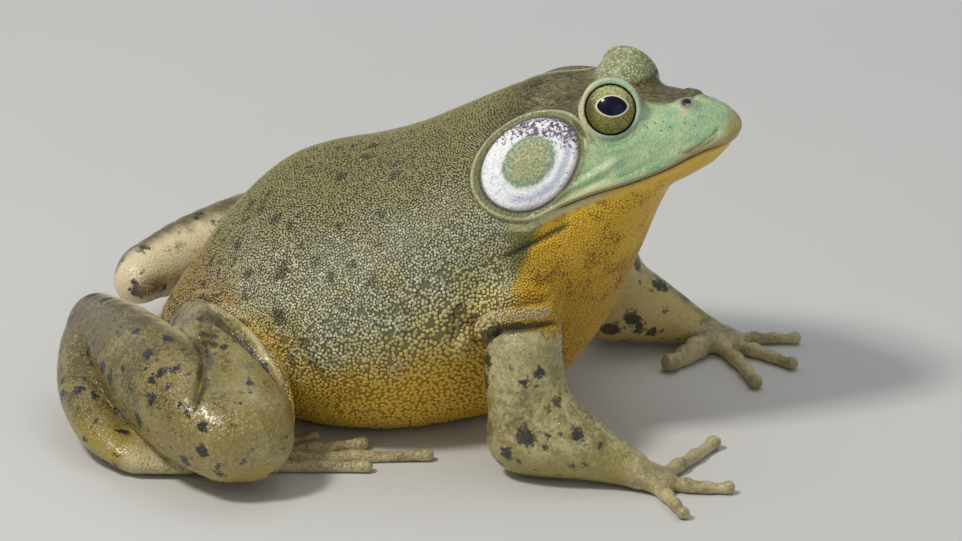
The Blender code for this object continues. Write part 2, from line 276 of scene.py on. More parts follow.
class Clay:
    def __init__(self, *lines):
        self.lines = lines
        self.values = np.full([len(line) for line in lines], 9, np.float32)

    def part(self, low, high):  # the slices of a box, and its coordinates
        cuts = tuple(slice(*np.searchsorted(line, (a, b)))
                     for line, a, b in zip(self.lines, low, high))
        return cuts, np.ix_(*[line[cut] for line, cut in zip(self.lines, cuts)])

    def add(self, low, high, distance, blend):
        cuts, grid = self.part(low, high)
        self.values[cuts] = softMin(self.values[cuts], distance(*grid), blend)

    def cut(self, low, high, distance, blend):
        cuts, grid = self.part(low, high)
        self.values[cuts] = -softMin(-self.values[cuts], distance(*grid), blend)


def ellipsoid(centre, size):
    def distance(x, y, z):
        d = [x - centre[0], y - centre[1], z - centre[2]]
        far = np.sqrt(d[0]**2 + d[1]**2 + d[2]**2)
        ratio = np.sqrt((d[0] / size[0])**2 + (d[1] / size[1])**2 + (d[2] / size[2])**2)
        return np.where(ratio < 0.02, -min(size), far - far / np.maximum(ratio, 0.02))
    return distance


def boxed(centre, reach):
    return np.array(centre) - reach, np.array(centre) + reach


def smoothRows(rows, steps):
    rows = np.array(rows, float)
    padded = np.vstack((2 * rows[0] - rows[1], rows, 2 * rows[-1] - rows[-2]))
    out = []
    for k in range(1, len(padded) - 2):
        a, b, c, d = padded[k - 1:k + 3]
        for t in np.arange(steps) / steps:
            out.append(0.5 * (2 * b + (c - a) * t + (2 * a - 5 * b + 4 * c - d) * t**2
                              + (3 * b - 3 * c + d - a) * t**3))
    return np.array(out + [rows[-1]])


def stretchDistance(a, b, x, y, z):  # to one short stretch of a limb; rows are x, y, z, wide, thick
    along = b[:3] - a[:3]
    reach = np.linalg.norm(along)
    ahead = along / reach
    side = unit(np.cross(ahead, (0, 0, 1)))
    over = np.cross(side, ahead)
    dx, dy, dz = x - a[0], y - a[1], z - a[2]
    t = np.clip((dx * ahead[0] + dy * ahead[1] + dz * ahead[2]) / reach, 0, 1)
    dx, dy, dz = dx - along[0] * t, dy - along[1] * t, dz - along[2] * t
    wide, thick = a[3] + (b[3] - a[3]) * t, a[4] + (b[4] - a[4]) * t
    across = (dx * side[0] + dy * side[1] + dz * side[2]) / wide
    above = (dx * over[0] + dy * over[1] + dz * over[2]) / thick
    beyond = (dx * ahead[0] + dy * ahead[1] + dz * ahead[2]) / thick
    far = np.sqrt(dx**2 + dy**2 + dz**2)
    ratio = np.sqrt(across**2 + above**2 + beyond**2)
    return np.where(ratio < 0.02, -thick, far - far / np.maximum(ratio, 0.02))


def limb(clay, rows, blend, steps=4, margin=4.5):
    path = smoothRows(rows, steps)
    reach = path[:, 3:5].max() + margin
    low, high = path[:, :3].min(0) - reach, path[:, :3].max(0) + reach
    cuts = clay.part(low, high)[0]
    piece = Clay(*[line[cut] for line, cut in zip(clay.lines, cuts)])
    for a, b in zip(path, path[1:]):
        near = max(a[3:5].max(), b[3:5].max()) + margin
        spot, local = piece.part(np.minimum(a[:3], b[:3]) - near, np.maximum(a[:3], b[:3]) + near)
        values = stretchDistance(a, b, *local)
        piece.values[spot] = np.minimum(piece.values[spot], values)
    clay.values[cuts] = softMin(clay.values[cuts], piece.values, blend)


def limbField(rows, points, steps=4):  # the same distance at loose points
    path = smoothRows(rows, steps)
    return np.min([stretchDistance(a, b, *points.T) for a, b in zip(path, path[1:])], axis=0)


# Trunk, throat and head: outlines as (x, value).
body = {
    "back": ((-65, 17), (-62, 22.5), (-57, 30.5), (-50, 41), (-43, 49.5), (-36, 55.5), (-28, 59),
             (-16, 62), (-6, 65.5), (6, 71.5), (18, 77.3), (30, 81), (42, 81.6), (52, 80.9),
             (62, 81.0), (68, 80.1), (72, 78.4), (74.6, 75.6)),
    "belly": ((-65, 14), (-62, 10), (-54, 4), (-44, -1), (-30, -4), (-10, -4.5), (8, -2.5),
              (20, 1), (28, 5.5), (36.5, 14.5), (44, 26.5), (50.2, 41), (55, 53), (59, 60.4),
              (65, 64.6), (71, 68.6), (73.6, 71.8), (74.6, 74.4)),
    "widest": ((-65, 15.5), (-57, 19), (-44, 25), (-28, 29), (-10, 30), (4, 35), (14, 43),
               (23, 53), (31, 58.8), (50, 65.6), (62, 69.8), (70, 72.6), (74.6, 75)),
    "halfWidth": ((-65, 2.5), (-63, 7), (-58, 12.5), (-50, 20), (-42, 29), (-34, 37), (-24, 42.5),
                  (-12, 45), (0, 43.5), (10, 39), (20, 34), (30, 31), (40, 28.6), (50, 25),
                  (59, 19.8), (66, 14.6), (71, 9.6), (73.6, 5.2), (74.6, 1.8)),
    "squareness": ((-65, 2.05), (5, 2.05), (30, 2.5), (48, 2.4), (62, 2.0), (74.6, 2.0)),
    "lowerSquareness": 2.05,
}


def smoothLine(points, xs):  # cubic Hermite through (x, value) points
    px, py = np.array(points, float).T
    slopes = np.gradient(py, px)
    k = np.clip(np.searchsorted(px, xs) - 1, 0, len(px) - 2)
    h = px[k + 1] - px[k]
    t = np.clip((xs - px[k]) / h, 0, 1)
    return ((2 * t**3 - 3 * t**2 + 1) * py[k] + (t**3 - 2 * t**2 + t) * h * slopes[k]
            + (3 * t**2 - 2 * t**3) * py[k + 1] + (t**3 - t**2) * h * slopes[k + 1])


def bodyDistance(x, y, z):
    flat = x.ravel()
    lines = {key: smoothLine(body[key], flat).reshape(x.shape).astype(np.float32)
             for key in ("back", "belly", "widest", "halfWidth", "squareness")}
    mid = lines["widest"]
    high = z > mid
    power = np.where(high, lines["squareness"], body["lowerSquareness"])
    tall = np.where(high, lines["back"] - mid, mid - lines["belly"])
    across = np.abs(y) / lines["halfWidth"]
    ratio = (across**power + (np.abs(z - mid) / tall)**power)**(1 / power)
    steep = np.sqrt(sum(g**2 for g in np.gradient(ratio, x.ravel(), y.ravel(), z.ravel())))
    ends = (body["back"][0][0], body["back"][-1][0])
    inner = (ratio - 1) / np.maximum(steep, 0.01)
    return np.maximum(inner, np.maximum(ends[0] - x, x - ends[1])).astype(np.float32)


# The eye, its brow and lids, the mouth, ear and nostril, given for the right side.
eye = {"centre": (46.2, -11.2, 81.1), "radius": 6.6, "axis": unit((0.16, -0.90, 0.40)),
       "turn": (1.1, 0, 0.7)}   # the head leans a little left, so the left eye sits back and lower
brow = {"centre": (46.1, -10.5, 79.4), "size": (7.8, 8.8, 9.1), "blend": 2.5,
        "root": (44.0, -11.5, 75.6), "rootSize": (11.5, 11.2, 6.3)}
lid = {"ring": 6.5, "height": 2.85, "thick": 0.68, "upper": 0.3, "blend": 0.45, "gap": 0.12,
       "opening": 6.0, "shelf": 9.0, "shelfHeight": 3.1}
mouth = {"line": ((30.8, 58.6), (38, 62.4), (45, 65.3), (54, 67.7), (61.7, 70.1), (66.5, 72.1),
                  (69.8, 73), (72, 73), (74.6, 72.5)),
         "starts": (31, 35), "groove": 1.1, "half": 0.34, "lip": 0.4, "lipHeight": 1.5,
         "inset": 0.5, "insetHeight": 3.5}
ear = {"centre": (29.8, -25.4, 72.2), "axis": unit((-0.05, -0.82, 0.57)),
       "long": 12.9, "short": 10.6, "tilt": 51, "flatten": 0.65,
       "disc": 0.53, "discRise": 0.5, "ringDrop": 0.2, "groove": 0.8, "grooveHalf": 0.045,
       "ridge": 1.15, "ridgeRise": 0.85, "ridgeHalf": 0.05}
nostril = {"at": (62.5, -3.1, 80.4), "bump": (2.8, 2.4, 2.3), "blend": 1.8, "hole": 0.95,
           "facing": unit((0.2, -0.6, 0.8))}


def sides(point, turn=(0, 0, 0)):  # the right-hand point and its twin
    right = np.array(point, float)
    return right, right * (1, -1, 1) - turn


def around(centre, axis, x, y, z):  # from a middle: the way, its height along an axis, its spoke
    d = [x - centre[0], y - centre[1], z - centre[2]]
    height = d[0] * axis[0] + d[1] * axis[1] + d[2] * axis[2]
    return d, height, np.sqrt(np.maximum(d[0]**2 + d[1]**2 + d[2]**2 - height**2, 1e-6))


def lidRing(centre, axis, up):
    def distance(x, y, z):
        d, height, spoke = around(centre, axis, x, y, z)
        rise = np.clip((d[0] * up[0] + d[1] * up[1] + d[2] * up[2]) / spoke, 0, 1)
        thick = lid["thick"] + lid["upper"] * rise**2
        return np.sqrt((spoke - lid["ring"] - thick + lid["thick"])**2
                       + (height - lid["height"])**2) - thick
    return distance


def well(centre, axis, radius, floor):  # a round hole that opens outwards from a floor
    def distance(x, y, z):
        _, height, spoke = around(centre, axis, x, y, z)
        return np.maximum(spoke - radius, floor - height)
    return distance


def shapeHead(clay):
    for side, centre in zip((1, -1), sides(eye["centre"], eye["turn"])):
        flip = np.array([1, side, 1])
        shift = np.array(eye["turn"]) * min(side, 0)
        for middle, size in ((brow["root"], brow["rootSize"]), (brow["centre"], brow["size"])):
            spot = np.array(middle) * flip + shift
            clay.add(*boxed(spot, max(size) + 3), ellipsoid(spot, size), brow["blend"])
        axis = eye["axis"] * flip
        up = unit(np.array([0, 0, 1]) - axis * axis[2])
        clay.cut(*boxed(centre, 14), well(centre, axis, lid["shelf"], lid["shelfHeight"]), 1.2)
        clay.cut(*boxed(centre, 11), well(centre, axis, lid["opening"], 0), 0.3)
        clay.add(*boxed(centre, 11), lidRing(centre, axis, up), lid["blend"])
        socket = ellipsoid(centre, (eye["radius"] + lid["gap"],) * 3)
        clay.cut(*boxed(centre, 11), socket, 0.3)
        nose = np.array(nostril["at"]) * flip
        clay.add(*boxed(nose, 6), ellipsoid(nose, nostril["bump"]), nostril["blend"])
        rim = nose + nostril["facing"] * flip * nostril["bump"][2]
        hole = np.array((1.25, 1, 1.6)) * nostril["hole"]
        clay.cut(*boxed(rim, 4), ellipsoid(rim, hole), 0.25)


# Limbs of the right side, as x, y, z, half-width and half-thickness; digits as x, y and radius.
limbs = {
    "upperArm": ((27, -24, 39, 7, 7), (30, -33.5, 34, 9, 9), (31.5, -38, 25, 9.3, 9.3),
                 (33, -41, 16, 9, 9), (34.5, -42, 11, 8.4, 8.4)),
    "forearm": ((32.5, -42, 9.4, 8, 8.8), (39, -42.4, 10.5, 9.0, 9.9), (46, -42.8, 8.6, 7.4, 7.7),
                (53, -43.2, 6.0, 5.4, 5.4), (60, -43.6, 3.8, 4.3, 3.6)),
    "elbow": ((32.5, -38.5, 26, 6.2, 6.2), (39.5, -42, 12.5, 6.4, 6.4)),
    "palm": ((60.5, -43.6, 3.4, 4.3, 3.3), (64, -43.6, 2.8, 5.4, 2.7), (67, -43.2, 2.2, 4.8, 2.2)),
    "fingers": (((61.5, -41, 3.1), (57, -34, 3), (52.5, -26.5, 2.2)),
                ((64, -41.5, 2.3), (68.5, -29.5, 1.9), (72.5, -17, 1.7)),
                ((66, -43.2, 2.3), (74, -43.8, 1.9), (81.5, -42.5, 1.6)),
                ((65, -46, 2.1), (70, -52.5, 1.8), (74.5, -59.5, 1.5))),
    "leftForearm": ((32.5, -42, 9.2, 7.6, 8.2), (39, -43, 10, 8.6, 9.2),
                    (46, -44, 7.9, 6.9, 7.2), (52, -44.8, 5.6, 5.4, 5.2),
                    (57.5, -45, 3.8, 4.3, 3.5)),
    "leftPalm": ((58, -45, 3.3, 4.3, 3.2), (61.5, -44, 2.7, 5.4, 2.7), (64.5, -43, 2.2, 4.8, 2.2)),
    "leftFingers": (((59, -42.5, 3.1), (56, -35, 3), (52.5, -28, 2.2)),
                    ((62, -41.5, 2.3), (69, -32, 1.9), (74.5, -22, 1.7)),
                    ((64, -43, 2.3), (72.5, -40, 1.9), (80.5, -35.5, 1.6)),
                    ((63, -46, 2.1), (70.5, -49.5, 1.8), (78, -51.5, 1.5))),
    "thigh": ((-50, -14, 18, 8, 8), (-46, -24, 19.5, 12, 12), (-39.5, -40, 18.5, 13, 13),
              (-33, -55, 15.5, 12.4, 12.4), (-28.5, -65, 13.6, 11, 11)),
    "shank": ((-33, -68.5, 13.4, 9.6, 10), (-42, -61, 15.8, 12, 12), (-54, -48, 18.2, 12, 12),
              (-67, -31, 19.6, 9.4, 9.6), (-76.5, -18, 19.2, 6.8, 6.8)),
    "tarsus": ((-78, -14, 18, 5.6, 5.6), (-78.5, -26, 15.5, 5.4, 5.6), (-75, -41, 11, 5.4, 5.4),
               (-67, -54.5, 7, 5.4, 4.6), (-58, -60.5, 4.2, 5.6, 3.6)),
    "sole": ((-56.5, -61, 3.4, 5.4, 3.2), (-46, -57.5, 2.6, 6.4, 2.6),
             (-37, -53.5, 2.2, 6.6, 2.2)),
    "toes": (((-46, -52, 2.3), (-38, -44, 1.9), (-31, -37.5, 1.6)),
             ((-43, -53, 2.3), (-31, -43, 1.9), (-20, -34.5, 1.6)),
             ((-41, -54, 2.3), (-24, -44, 1.9), (-8, -35.5, 1.6)),
             ((-40, -55, 2.3), (-15, -46, 1.9), (8.5, -39, 1.5)),
             ((-41, -57.5, 2.3), (-22, -53, 1.9), (-4, -49, 1.6))),
    "leftLegShift": (3.2, 2.5),
}


knuckles = {"slim": 0.8, "at": (0.36, 0.66, 1.0), "swell": (0.17, 0.15, 0.26), "length": 0.055}


def digitRows(rows):  # slim between swollen joints, with a round tip
    path = smoothRows(rows, 8)
    out = []
    for t, (x, y, r) in zip(np.linspace(0, 1, len(path)), path):
        bumps = [s * math.exp(-((t - at) / knuckles["length"])**2)
                 for at, s in zip(knuckles["at"], knuckles["swell"])]
        r *= knuckles["slim"] + sum(bumps)
        out.append((x, y, r * 0.85, r, r))
    return out


def handRows(tag):
    if tag == "right":
        return limbs["forearm"], limbs["palm"], limbs["fingers"]
    return [mirrored(limbs[k]) if k != "leftFingers" else [mirrored(f) for f in limbs[k]]
            for k in ("leftForearm", "leftPalm", "leftFingers")]


def legRows(rows, tag):
    if tag == "right":
        return rows
    dx, dy = limbs["leftLegShift"]
    return [(row[0] + dx, -row[1] - dy) + tuple(row[2:]) for row in rows]


def armParts(tag):
    upper = limbs["upperArm"] if tag == "right" else mirrored(limbs["upperArm"])
    forearm, palm, fingers = handRows(tag)
    elbow = limbs["elbow"] if tag == "right" else mirrored(limbs["elbow"])
    return {"shoulder": [upper], "arm": [forearm, elbow],
            "hand": [palm] + [digitRows(f) for f in fingers]}


def legParts(tag):
    leg = [legRows(limbs[k], tag) for k in ("thigh", "shank")]
    foot = [legRows(limbs["sole"], tag)]
    foot += [digitRows(legRows(toe, tag)) for toe in limbs["toes"]]
    return {"leg": leg, "tarsus": [legRows(limbs["tarsus"], tag)], "foot": foot}


blends = {"shoulder": 5.0, "arm": 3.0, "hand": 1.3, "leg": 1.4, "tarsus": 2.2, "foot": 0.9}


def web(tag):  # a thin sheet between the toes
    toes = [legRows(toe, tag) for toe in limbs["toes"]]
    lines = [smoothRows([row[:2] for row in toe], 6) for toe in toes]
    edge = [lines[0][0]]
    for near, far in zip(lines, lines[1:]):
        inner = (near[5] + far[5]) / 2
        for t in np.linspace(0, 1, 6, endpoint=False):
            point = near[10] * (1 - t) + far[10] * t
            pull = 1.8 * t * (1 - t)
            edge.append(point * (1 - pull) + inner * pull)
    edge += [lines[-1][10], lines[-1][0]]
    return np.array(edge)


webSheet = {"middle": 0.62, "half": 0.42}


def sheetDistance(outline):
    def distance(x, y, z):
        px, py = x[:, :, 0], y[:, :, 0]
        near = np.full(np.broadcast(px, py).shape, 9.0)
        odd = np.zeros(near.shape, bool)
        for a, b in zip(outline, np.roll(outline, -1, 0)):
            run = b - a
            t = np.clip(((px - a[0]) * run[0] + (py - a[1]) * run[1]) / (run @ run), 0, 1)
            near = np.minimum(near, np.hypot(px - a[0] - run[0] * t, py - a[1] - run[1] * t))
            crosses = (a[1] > py) != (b[1] > py)
            odd ^= crosses & (px < run[0] * (py - a[1]) / (run[1] or 1e-9) + a[0])
        flat = np.where(odd, -near, near)[:, :, None]
        return np.maximum(flat, np.abs(z - webSheet["middle"]) - webSheet["half"])
    return distance


corners = [(i, j, k) for i in (0, 1) for j in (0, 1) for k in (0, 1)]


def surfaceNet(clay):
    values, lines = clay.values, clay.lines
    inside = values < 0
    count = np.zeros([n - 1 for n in values.shape], np.int8)
    for i, j, k in corners:
        count += inside[i:i - 1 or None, j:j - 1 or None, k:k - 1 or None]
    cells = np.argwhere((count > 0) & (count < 8)).astype(np.int32)
    index = np.full(count.shape, -1, np.int32)
    index[tuple(cells.T)] = np.arange(len(cells))
    total, hits = np.zeros((len(cells), 3)), np.zeros(len(cells))
    for a in corners:
        for axis in range(3):
            if a[axis]:
                continue
            b = tuple(v + (n == axis) for n, v in enumerate(a))
            ia, ib = cells + a, cells + b
            va, vb = values[tuple(ia.T)], values[tuple(ib.T)]
            hit = (va < 0) != (vb < 0)
            t = np.where(hit, va / np.where(hit, va - vb, 1), 0)
            pa = np.stack([line[ia[:, n]] for n, line in enumerate(lines)], 1)
            pb = np.stack([line[ib[:, n]] for n, line in enumerate(lines)], 1)
            total[hit] += (pa + (pb - pa) * t[:, None])[hit]
            hits[hit] += 1
    quads = []
    for axis in range(3):
        first = [slice(None)] * 3
        second = [slice(None)] * 3
        first[axis], second[axis] = slice(0, -1), slice(1, None)
        start, end = inside[tuple(first)], inside[tuple(second)]
        ring = np.zeros((4, 3), int)
        u, v = (axis + 1) % 3, (axis + 2) % 3
        ring[[0, 3], u] = -1
        ring[[0, 1], v] = -1
        for found, order in ((start & ~end, [0, 1, 2, 3]), (~start & end, [3, 2, 1, 0])):
            at = np.argwhere(found)
            quads.append(np.stack([index[tuple((at + ring[n]).T)] for n in order], 1))
    return total / hits[:, None], np.concatenate(quads)


def edgesOf(faces):
    pairs = np.concatenate([faces[:, [n, (n + 1) % faces.shape[1]]] for n in range(faces.shape[1])])
    return np.unique(np.sort(pairs, 1), axis=0)


def spread(edges, values, count):  # the mean of each point's neighbours
    out = np.empty_like(values)
    degree = np.bincount(edges.ravel(), minlength=count)
    for n in range(values.shape[1]):
        out[:, n] = (np.bincount(edges[:, 0], values[edges[:, 1], n], count)
                     + np.bincount(edges[:, 1], values[edges[:, 0], n], count)) / degree
    return out


def relax(points, edges, rounds, weight=0.5, back=-0.53):
    for _ in range(rounds):
        for amount in (weight, back):
            points = points + amount * (spread(edges, points, len(points)) - points)
    return points


def normalsOf(points, faces):
    diagonals = np.cross(points[faces[:, 2]] - points[faces[:, 0]],
                         points[faces[:, -1]] - points[faces[:, 1]])
    out = np.stack([np.bincount(faces.ravel(), np.repeat(diagonals[:, n], faces.shape[1]),
                                len(points)) for n in range(3)], 1)
    return out / np.maximum(np.linalg.norm(out, axis=1, keepdims=True), 1e-12)


def meshFrom(name, points, faces):
    mesh = bpy.data.meshes.new(name)
    mesh.vertices.add(len(points))
    mesh.vertices.foreach_set("co", ((points + tableOrigin) * mm).astype(np.float32).ravel())
    mesh.loops.add(faces.size)
    mesh.loops.foreach_set("vertex_index", faces.astype(np.int32).ravel())
    mesh.polygons.add(len(faces))
    mesh.polygons.foreach_set("loop_start", np.arange(0, faces.size, faces.shape[1], dtype=np.int32))
    mesh.update(calc_edges=True)
    return placed(name, mesh)


def pointsOf(mesh):
    co = np.empty(len(mesh.vertices) * 3, np.float32)
    mesh.vertices.foreach_get("co", co)
    return co.reshape(-1, 3) / mm - tableOrigin


def applied(piece, kind, **settings):
    modifier = piece.modifiers.new(kind, kind)
    for key, value in settings.items():
        setattr(modifier, key, value)
    bpy.context.view_layer.update()
    view = bpy.context.evaluated_depsgraph_get()
    mesh = bpy.data.meshes.new_from_object(piece.evaluated_get(view))
    piece.modifiers.clear()
    piece.data = mesh


# Folds of the right side: height (a groove is negative), half-width, and the line they follow.
folds = {
    "jaw": (0.55, 0.8, ((34.5, -30, 63.8), (37.3, -29.8, 65.6), (40.9, -28.1, 67.6), (45.8, -26.3, 70.4),
                        (50, -23.5, 72.8), (54, -20.5, 74.8))),
    "lipLineA": (-0.42, 0.4, ((62.5, -16.6, 73.3), (65.6, -14.8, 73.6), (67.7, -12.5, 74.7),
                              (69.5, -10.2, 75.8), (71.2, -7.1, 76.9), (71.4, -5.4, 77.8))),
    "lipLineB": (-0.34, 0.4, ((64.5, -16, 72.8), (67.9, -13, 73.9), (70, -10.2, 75), (71.8, -7.1, 76.2))),
    "lipLineC": (-0.3, 0.42, ((48, -25, 68.5), (54, -22.7, 70.4), (56.5, -20.9, 71.7), (60.3, -18.3, 72.8))),
    "noseLine": (-0.3, 0.4, ((65.5, -6.6, 80.6), (68.6, -6, 79.4), (70.6, -5.8, 78.4), (71.3, -5.4, 77.6))),
    "crownA": (-0.6, 0.6, ((23.3, -2, 79.2), (27, -6.5, 79.9), (30.4, -11.1, 80.3))),
    "crownB": (-0.6, 0.6, ((30.4, -11.1, 80.3), (33.5, -7.5, 81.3), (37.4, -4, 81.8))),
    "throatCrease": (-0.8, 0.9, ((23.8, -32.6, 49.7), (29, -31.1, 52.1), (36.9, -29.2, 56.6),
                                 (41.4, -28, 59))),
    "armFold": (1.9, 1.6, ((16.2, -36, 20), (17.3, -36.6, 28.3), (20, -38.1, 34), (25, -40.4, 38.2),
                           (31, -40, 40), (35.1, -37.1, 39.4), (37.4, -31.5, 38.2))),
    "armCrease": (-1.4, 0.8, ((14, -37, 30), (17, -37.5, 37.5), (22, -39, 42.4), (28, -39.2, 44),
                              (35, -36, 43.4), (39, -28, 41))),
    "sleeveCrease": (-2.0, 0.9, ((18.6, -38, 20), (19.8, -38.2, 26.5), (21.6, -39.6, 31.6),
                                 (25.6, -41.6, 35.6), (31, -41.8, 37.2), (35.3, -38.6, 36.6),
                                 (38.4, -31, 34.8))),
    "groinFold": (1.5, 0.95, ((-48.9, -28.9, 30.7), (-43.7, -35.1, 32.1), (-38.3, -40.2, 31.3),
                             (-32.8, -44.8, 29.6), (-27.3, -49.7, 26.5), (-22.7, -53.8, 22.2),
                             (-20.8, -53.5, 15))),
    "groinCrease": (-1.2, 0.9, ((-50.5, -31.2, 29.6), (-45.2, -37.3, 31), (-40, -42.3, 30.5),
                                (-34.6, -47, 28.8), (-29.2, -52, 25.6), (-24.6, -56, 21), (-22.5, -56, 14))),
    "hipLine": (-0.9, 0.8, ((-58, -17, 28), (-52.5, -23.5, 31.5), (-47, -29, 33.2), (-42, -33, 34.6))),
    "kneeCrease": (-1.8, 1.0, ((-47, -42, 28.5), (-44.1, -48.2, 28.1), (-41, -55, 27.7),
                               (-39.5, -63, 27.2), (-39.2, -69.5, 24.8), (-39.0, -73.5, 20))),
    "wrinkleA": (-1.2, 0.6, ((-48, -36, 30), (-43.5, -40.5, 31.2), (-40, -42, 31))),
    "wrinkleB": (-1.2, 0.6, ((-47.5, -39.8, 29.4), (-43, -43.8, 30.5), (-39.5, -45, 30.8))),
    "wrinkleC": (-1.2, 0.6, ((-46.5, -43.2, 28.6), (-42.5, -46.3, 29.9), (-38.8, -48, 30))),
    "wrinkleD": (-1.2, 0.6, ((-44.8, -46.8, 28.3), (-41.5, -49.3, 29.2), (-38.5, -51, 29))),
    "flankCrease": (-0.5, 1.2, ((-33, -43, 36), (-25, -46, 31), (-18, -48, 22), (-15, -46, 13))),
}


def lineReach(points, path):  # distance to a smooth line laid on the points, and how far along it
    path = np.array([points[((points - spot)**2).sum(1).argmin()] for spot in smoothRows(path, 3)])
    path[1:-1] = (path[:-2] + 2 * path[1:-1] + path[2:]) / 4
    best, along = np.full(len(points), 1e9), np.zeros(len(points))
    for k, (a, b) in enumerate(zip(path, path[1:])):
        run = b - a
        t = np.clip(((points - a) @ run) / (run @ run), 0, 1)
        gap = ((points - a - t[:, None] * run)**2).sum(1)
        closer = gap < best
        best[closer], along[closer] = gap[closer], k + t[closer]
    return np.sqrt(best), along / (len(path) - 1)


def step(low, high, x):
    t = np.clip((x - low) / (high - low), 0, 1)
    return t * t * (3 - 2 * t)


def foldHeights(points):
    total = np.zeros(len(points))
    for flip in (1, -1):
        folded = points * (1, flip, 1)
        mine = folded[:, 1] <= 0
        for height, half, path in folds.values():
            low, high = np.min(path, 0) - 4 * half, np.max(path, 0) + 4 * half
            near = np.flatnonzero(((folded > low) & (folded < high)).all(1) & mine)
            gap, along = lineReach(folded[near], path)
            fade = step(0, 0.22, along) * step(1, 0.72, along)
            gutter = 0.3 * np.exp(-((gap - 2.1 * half) / (0.8 * half))**2) if height > 0 else 0
            total[near] += height * fade * (np.exp(-(gap / half)**2) - gutter)
    return total


def earPlaces(points):  # ahead, up and out from the middle of the nearer drum
    folded = points.copy()
    folded[:, 1] = -np.abs(points[:, 1])
    axis = ear["axis"]
    up = unit(np.array([0, 0, 1]) - axis * axis[2])
    return (folded - ear["centre"]) @ np.array([np.cross(up, axis), up, axis]).T


def earRadius(places):  # 1 on the drum's rim, which is a tilted oval
    tilt = math.radians(ear["tilt"])
    along = places[:, 0] * math.cos(tilt) + places[:, 1] * math.sin(tilt)
    across = places[:, 1] * math.cos(tilt) - places[:, 0] * math.sin(tilt)
    return np.hypot(along / ear["long"], across / ear["short"])


def shapeEars(points):
    places = earPlaces(points)
    height, radius = places[:, 2], earRadius(places)
    near = (radius < 1.6) & (np.abs(height) < 8)
    move = -height * step(1.12, 0.8, radius) * ear["flatten"]
    disc = step(ear["disc"] + 0.08, ear["disc"] - 0.08, radius)
    move += step(1.05, 0.95, radius) * (ear["discRise"] * disc - ear["ringDrop"])
    move -= ear["groove"] * np.exp(-((radius - 1) / ear["grooveHalf"])**2)
    front = places[:, 0] / np.maximum(np.hypot(places[:, 0], places[:, 1]), 1)
    behind = step(0.85, 0.5, front) + (1 - step(0.85, 0.5, front)) * (places[:, 1] > 4)
    move += behind * ear["ridgeRise"] * np.exp(-((radius - ear["ridge"]) / ear["ridgeHalf"])**2)
    outward = ear["axis"] * np.where(points[:, 1:2] < 0, (1, 1, 1), (1, -1, 1))
    return points + (move * near)[:, None] * outward


def mouthHeight(points):
    return (points[:, 2] - smoothLine(mouth["line"], points[:, 0])) * 0.95


def shapeMouth(points, normals):
    height = mouthHeight(points)
    face = step(*mouth["starts"], points[:, 0]) * (points[:, 2] > 50)
    move = -mouth["groove"] * np.exp(-(height / mouth["half"])**2)
    move += mouth["lip"] * np.exp(-((height - mouth["lipHeight"]) / mouth["lipHeight"])**2)
    move -= mouth["inset"] * step(0, -0.4, height) * step(-2 * mouth["insetHeight"], -1, height)
    return points + (face * move)[:, None] * normals


skin = {"triangles": 196000, "quickTriangles": 130000, "smoothing": 3, "headCare": 1e-5,
        "headFrom": 12, "headAbove": 56}


# the arm's end of colour under its fold, by x, and the leg's at the groin
sleeve = {"top": ((10, 15), (14, 19), (17, 25.5), (20, 30.6), (25, 35.2), (31, 37), (36, 36.2), (40, 34),
                  (46, 31)), "groin": (74, 76.5)}


def keep(mesh, name, values):  # numbers or vectors for the material to read
    kind, field = ("FLOAT", "value") if values.ndim == 1 else ("FLOAT_VECTOR", "vector")
    mesh.attributes.new(name, kind, "POINT").data.foreach_set(field, values.astype(np.float32).ravel())


def eyePlaces(points):  # ahead, up and out from the middle of the nearer eye
    out = np.zeros_like(points)
    for flip, centre in zip((1, -1), sides(eye["centre"], eye["turn"])):
        axis = eye["axis"] * (1, flip, 1)
        up = unit(np.array([0, 0, 1]) - axis * axis[2])
        forward = np.cross(up, axis) * flip
        mine = points[:, 1] * flip < 0
        out[mine] = ((points - centre) @ np.array([forward, up, axis]).T)[mine]
    return out


def keepPlaces(mesh):
    points = pointsOf(mesh)
    x, y, z = points.T
    back, belly = smoothLine(body["back"], x), smoothLine(body["belly"], x)
    rise = np.clip((z - belly) / np.maximum(back - belly, 5), -0.2, 1.2)
    keep(mesh, "rise", rise)
    reach = {}
    for tag in ("right", "left"):
        for name, group in {**armParts(tag), **legParts(tag)}.items():
            near = np.min([limbField(rows, points) for rows in group], axis=0)
            reach[name] = np.minimum(reach.get(name, 1e9), near)
    arm = step(3, 0.3, np.minimum(reach["shoulder"], reach["arm"]))
    arm *= step(0.7, -0.7, z - smoothLine(sleeve["top"], x))
    leg = step(3, 0.3, np.minimum(reach["leg"], reach["tarsus"]))
    leg *= step(*sleeve["groin"], np.abs(y) - 0.95 * x)
    digits = step(2.5, 0.3, np.minimum(reach["hand"], reach["foot"]))
    keep(mesh, "limbs", np.stack([arm, leg, digits], 1))
    keep(mesh, "fold", foldHeights(points))
    normals = np.empty(3 * len(points), np.float32)
    mesh.vertex_normals.foreach_get("vector", normals)
    keep(mesh, "inner", step(0.05, 0.45, -normals[1::3] * np.sign(y)))   # faces the other side
    keep(mesh, "lip", np.clip(mouthHeight(points), -30, 30))
    keep(mesh, "drum", earPlaces(points))
    keep(mesh, "eyePlace", eyePlaces(points))
    keepGrowth(mesh, points, rise, np.max([arm, leg, digits], axis=0))


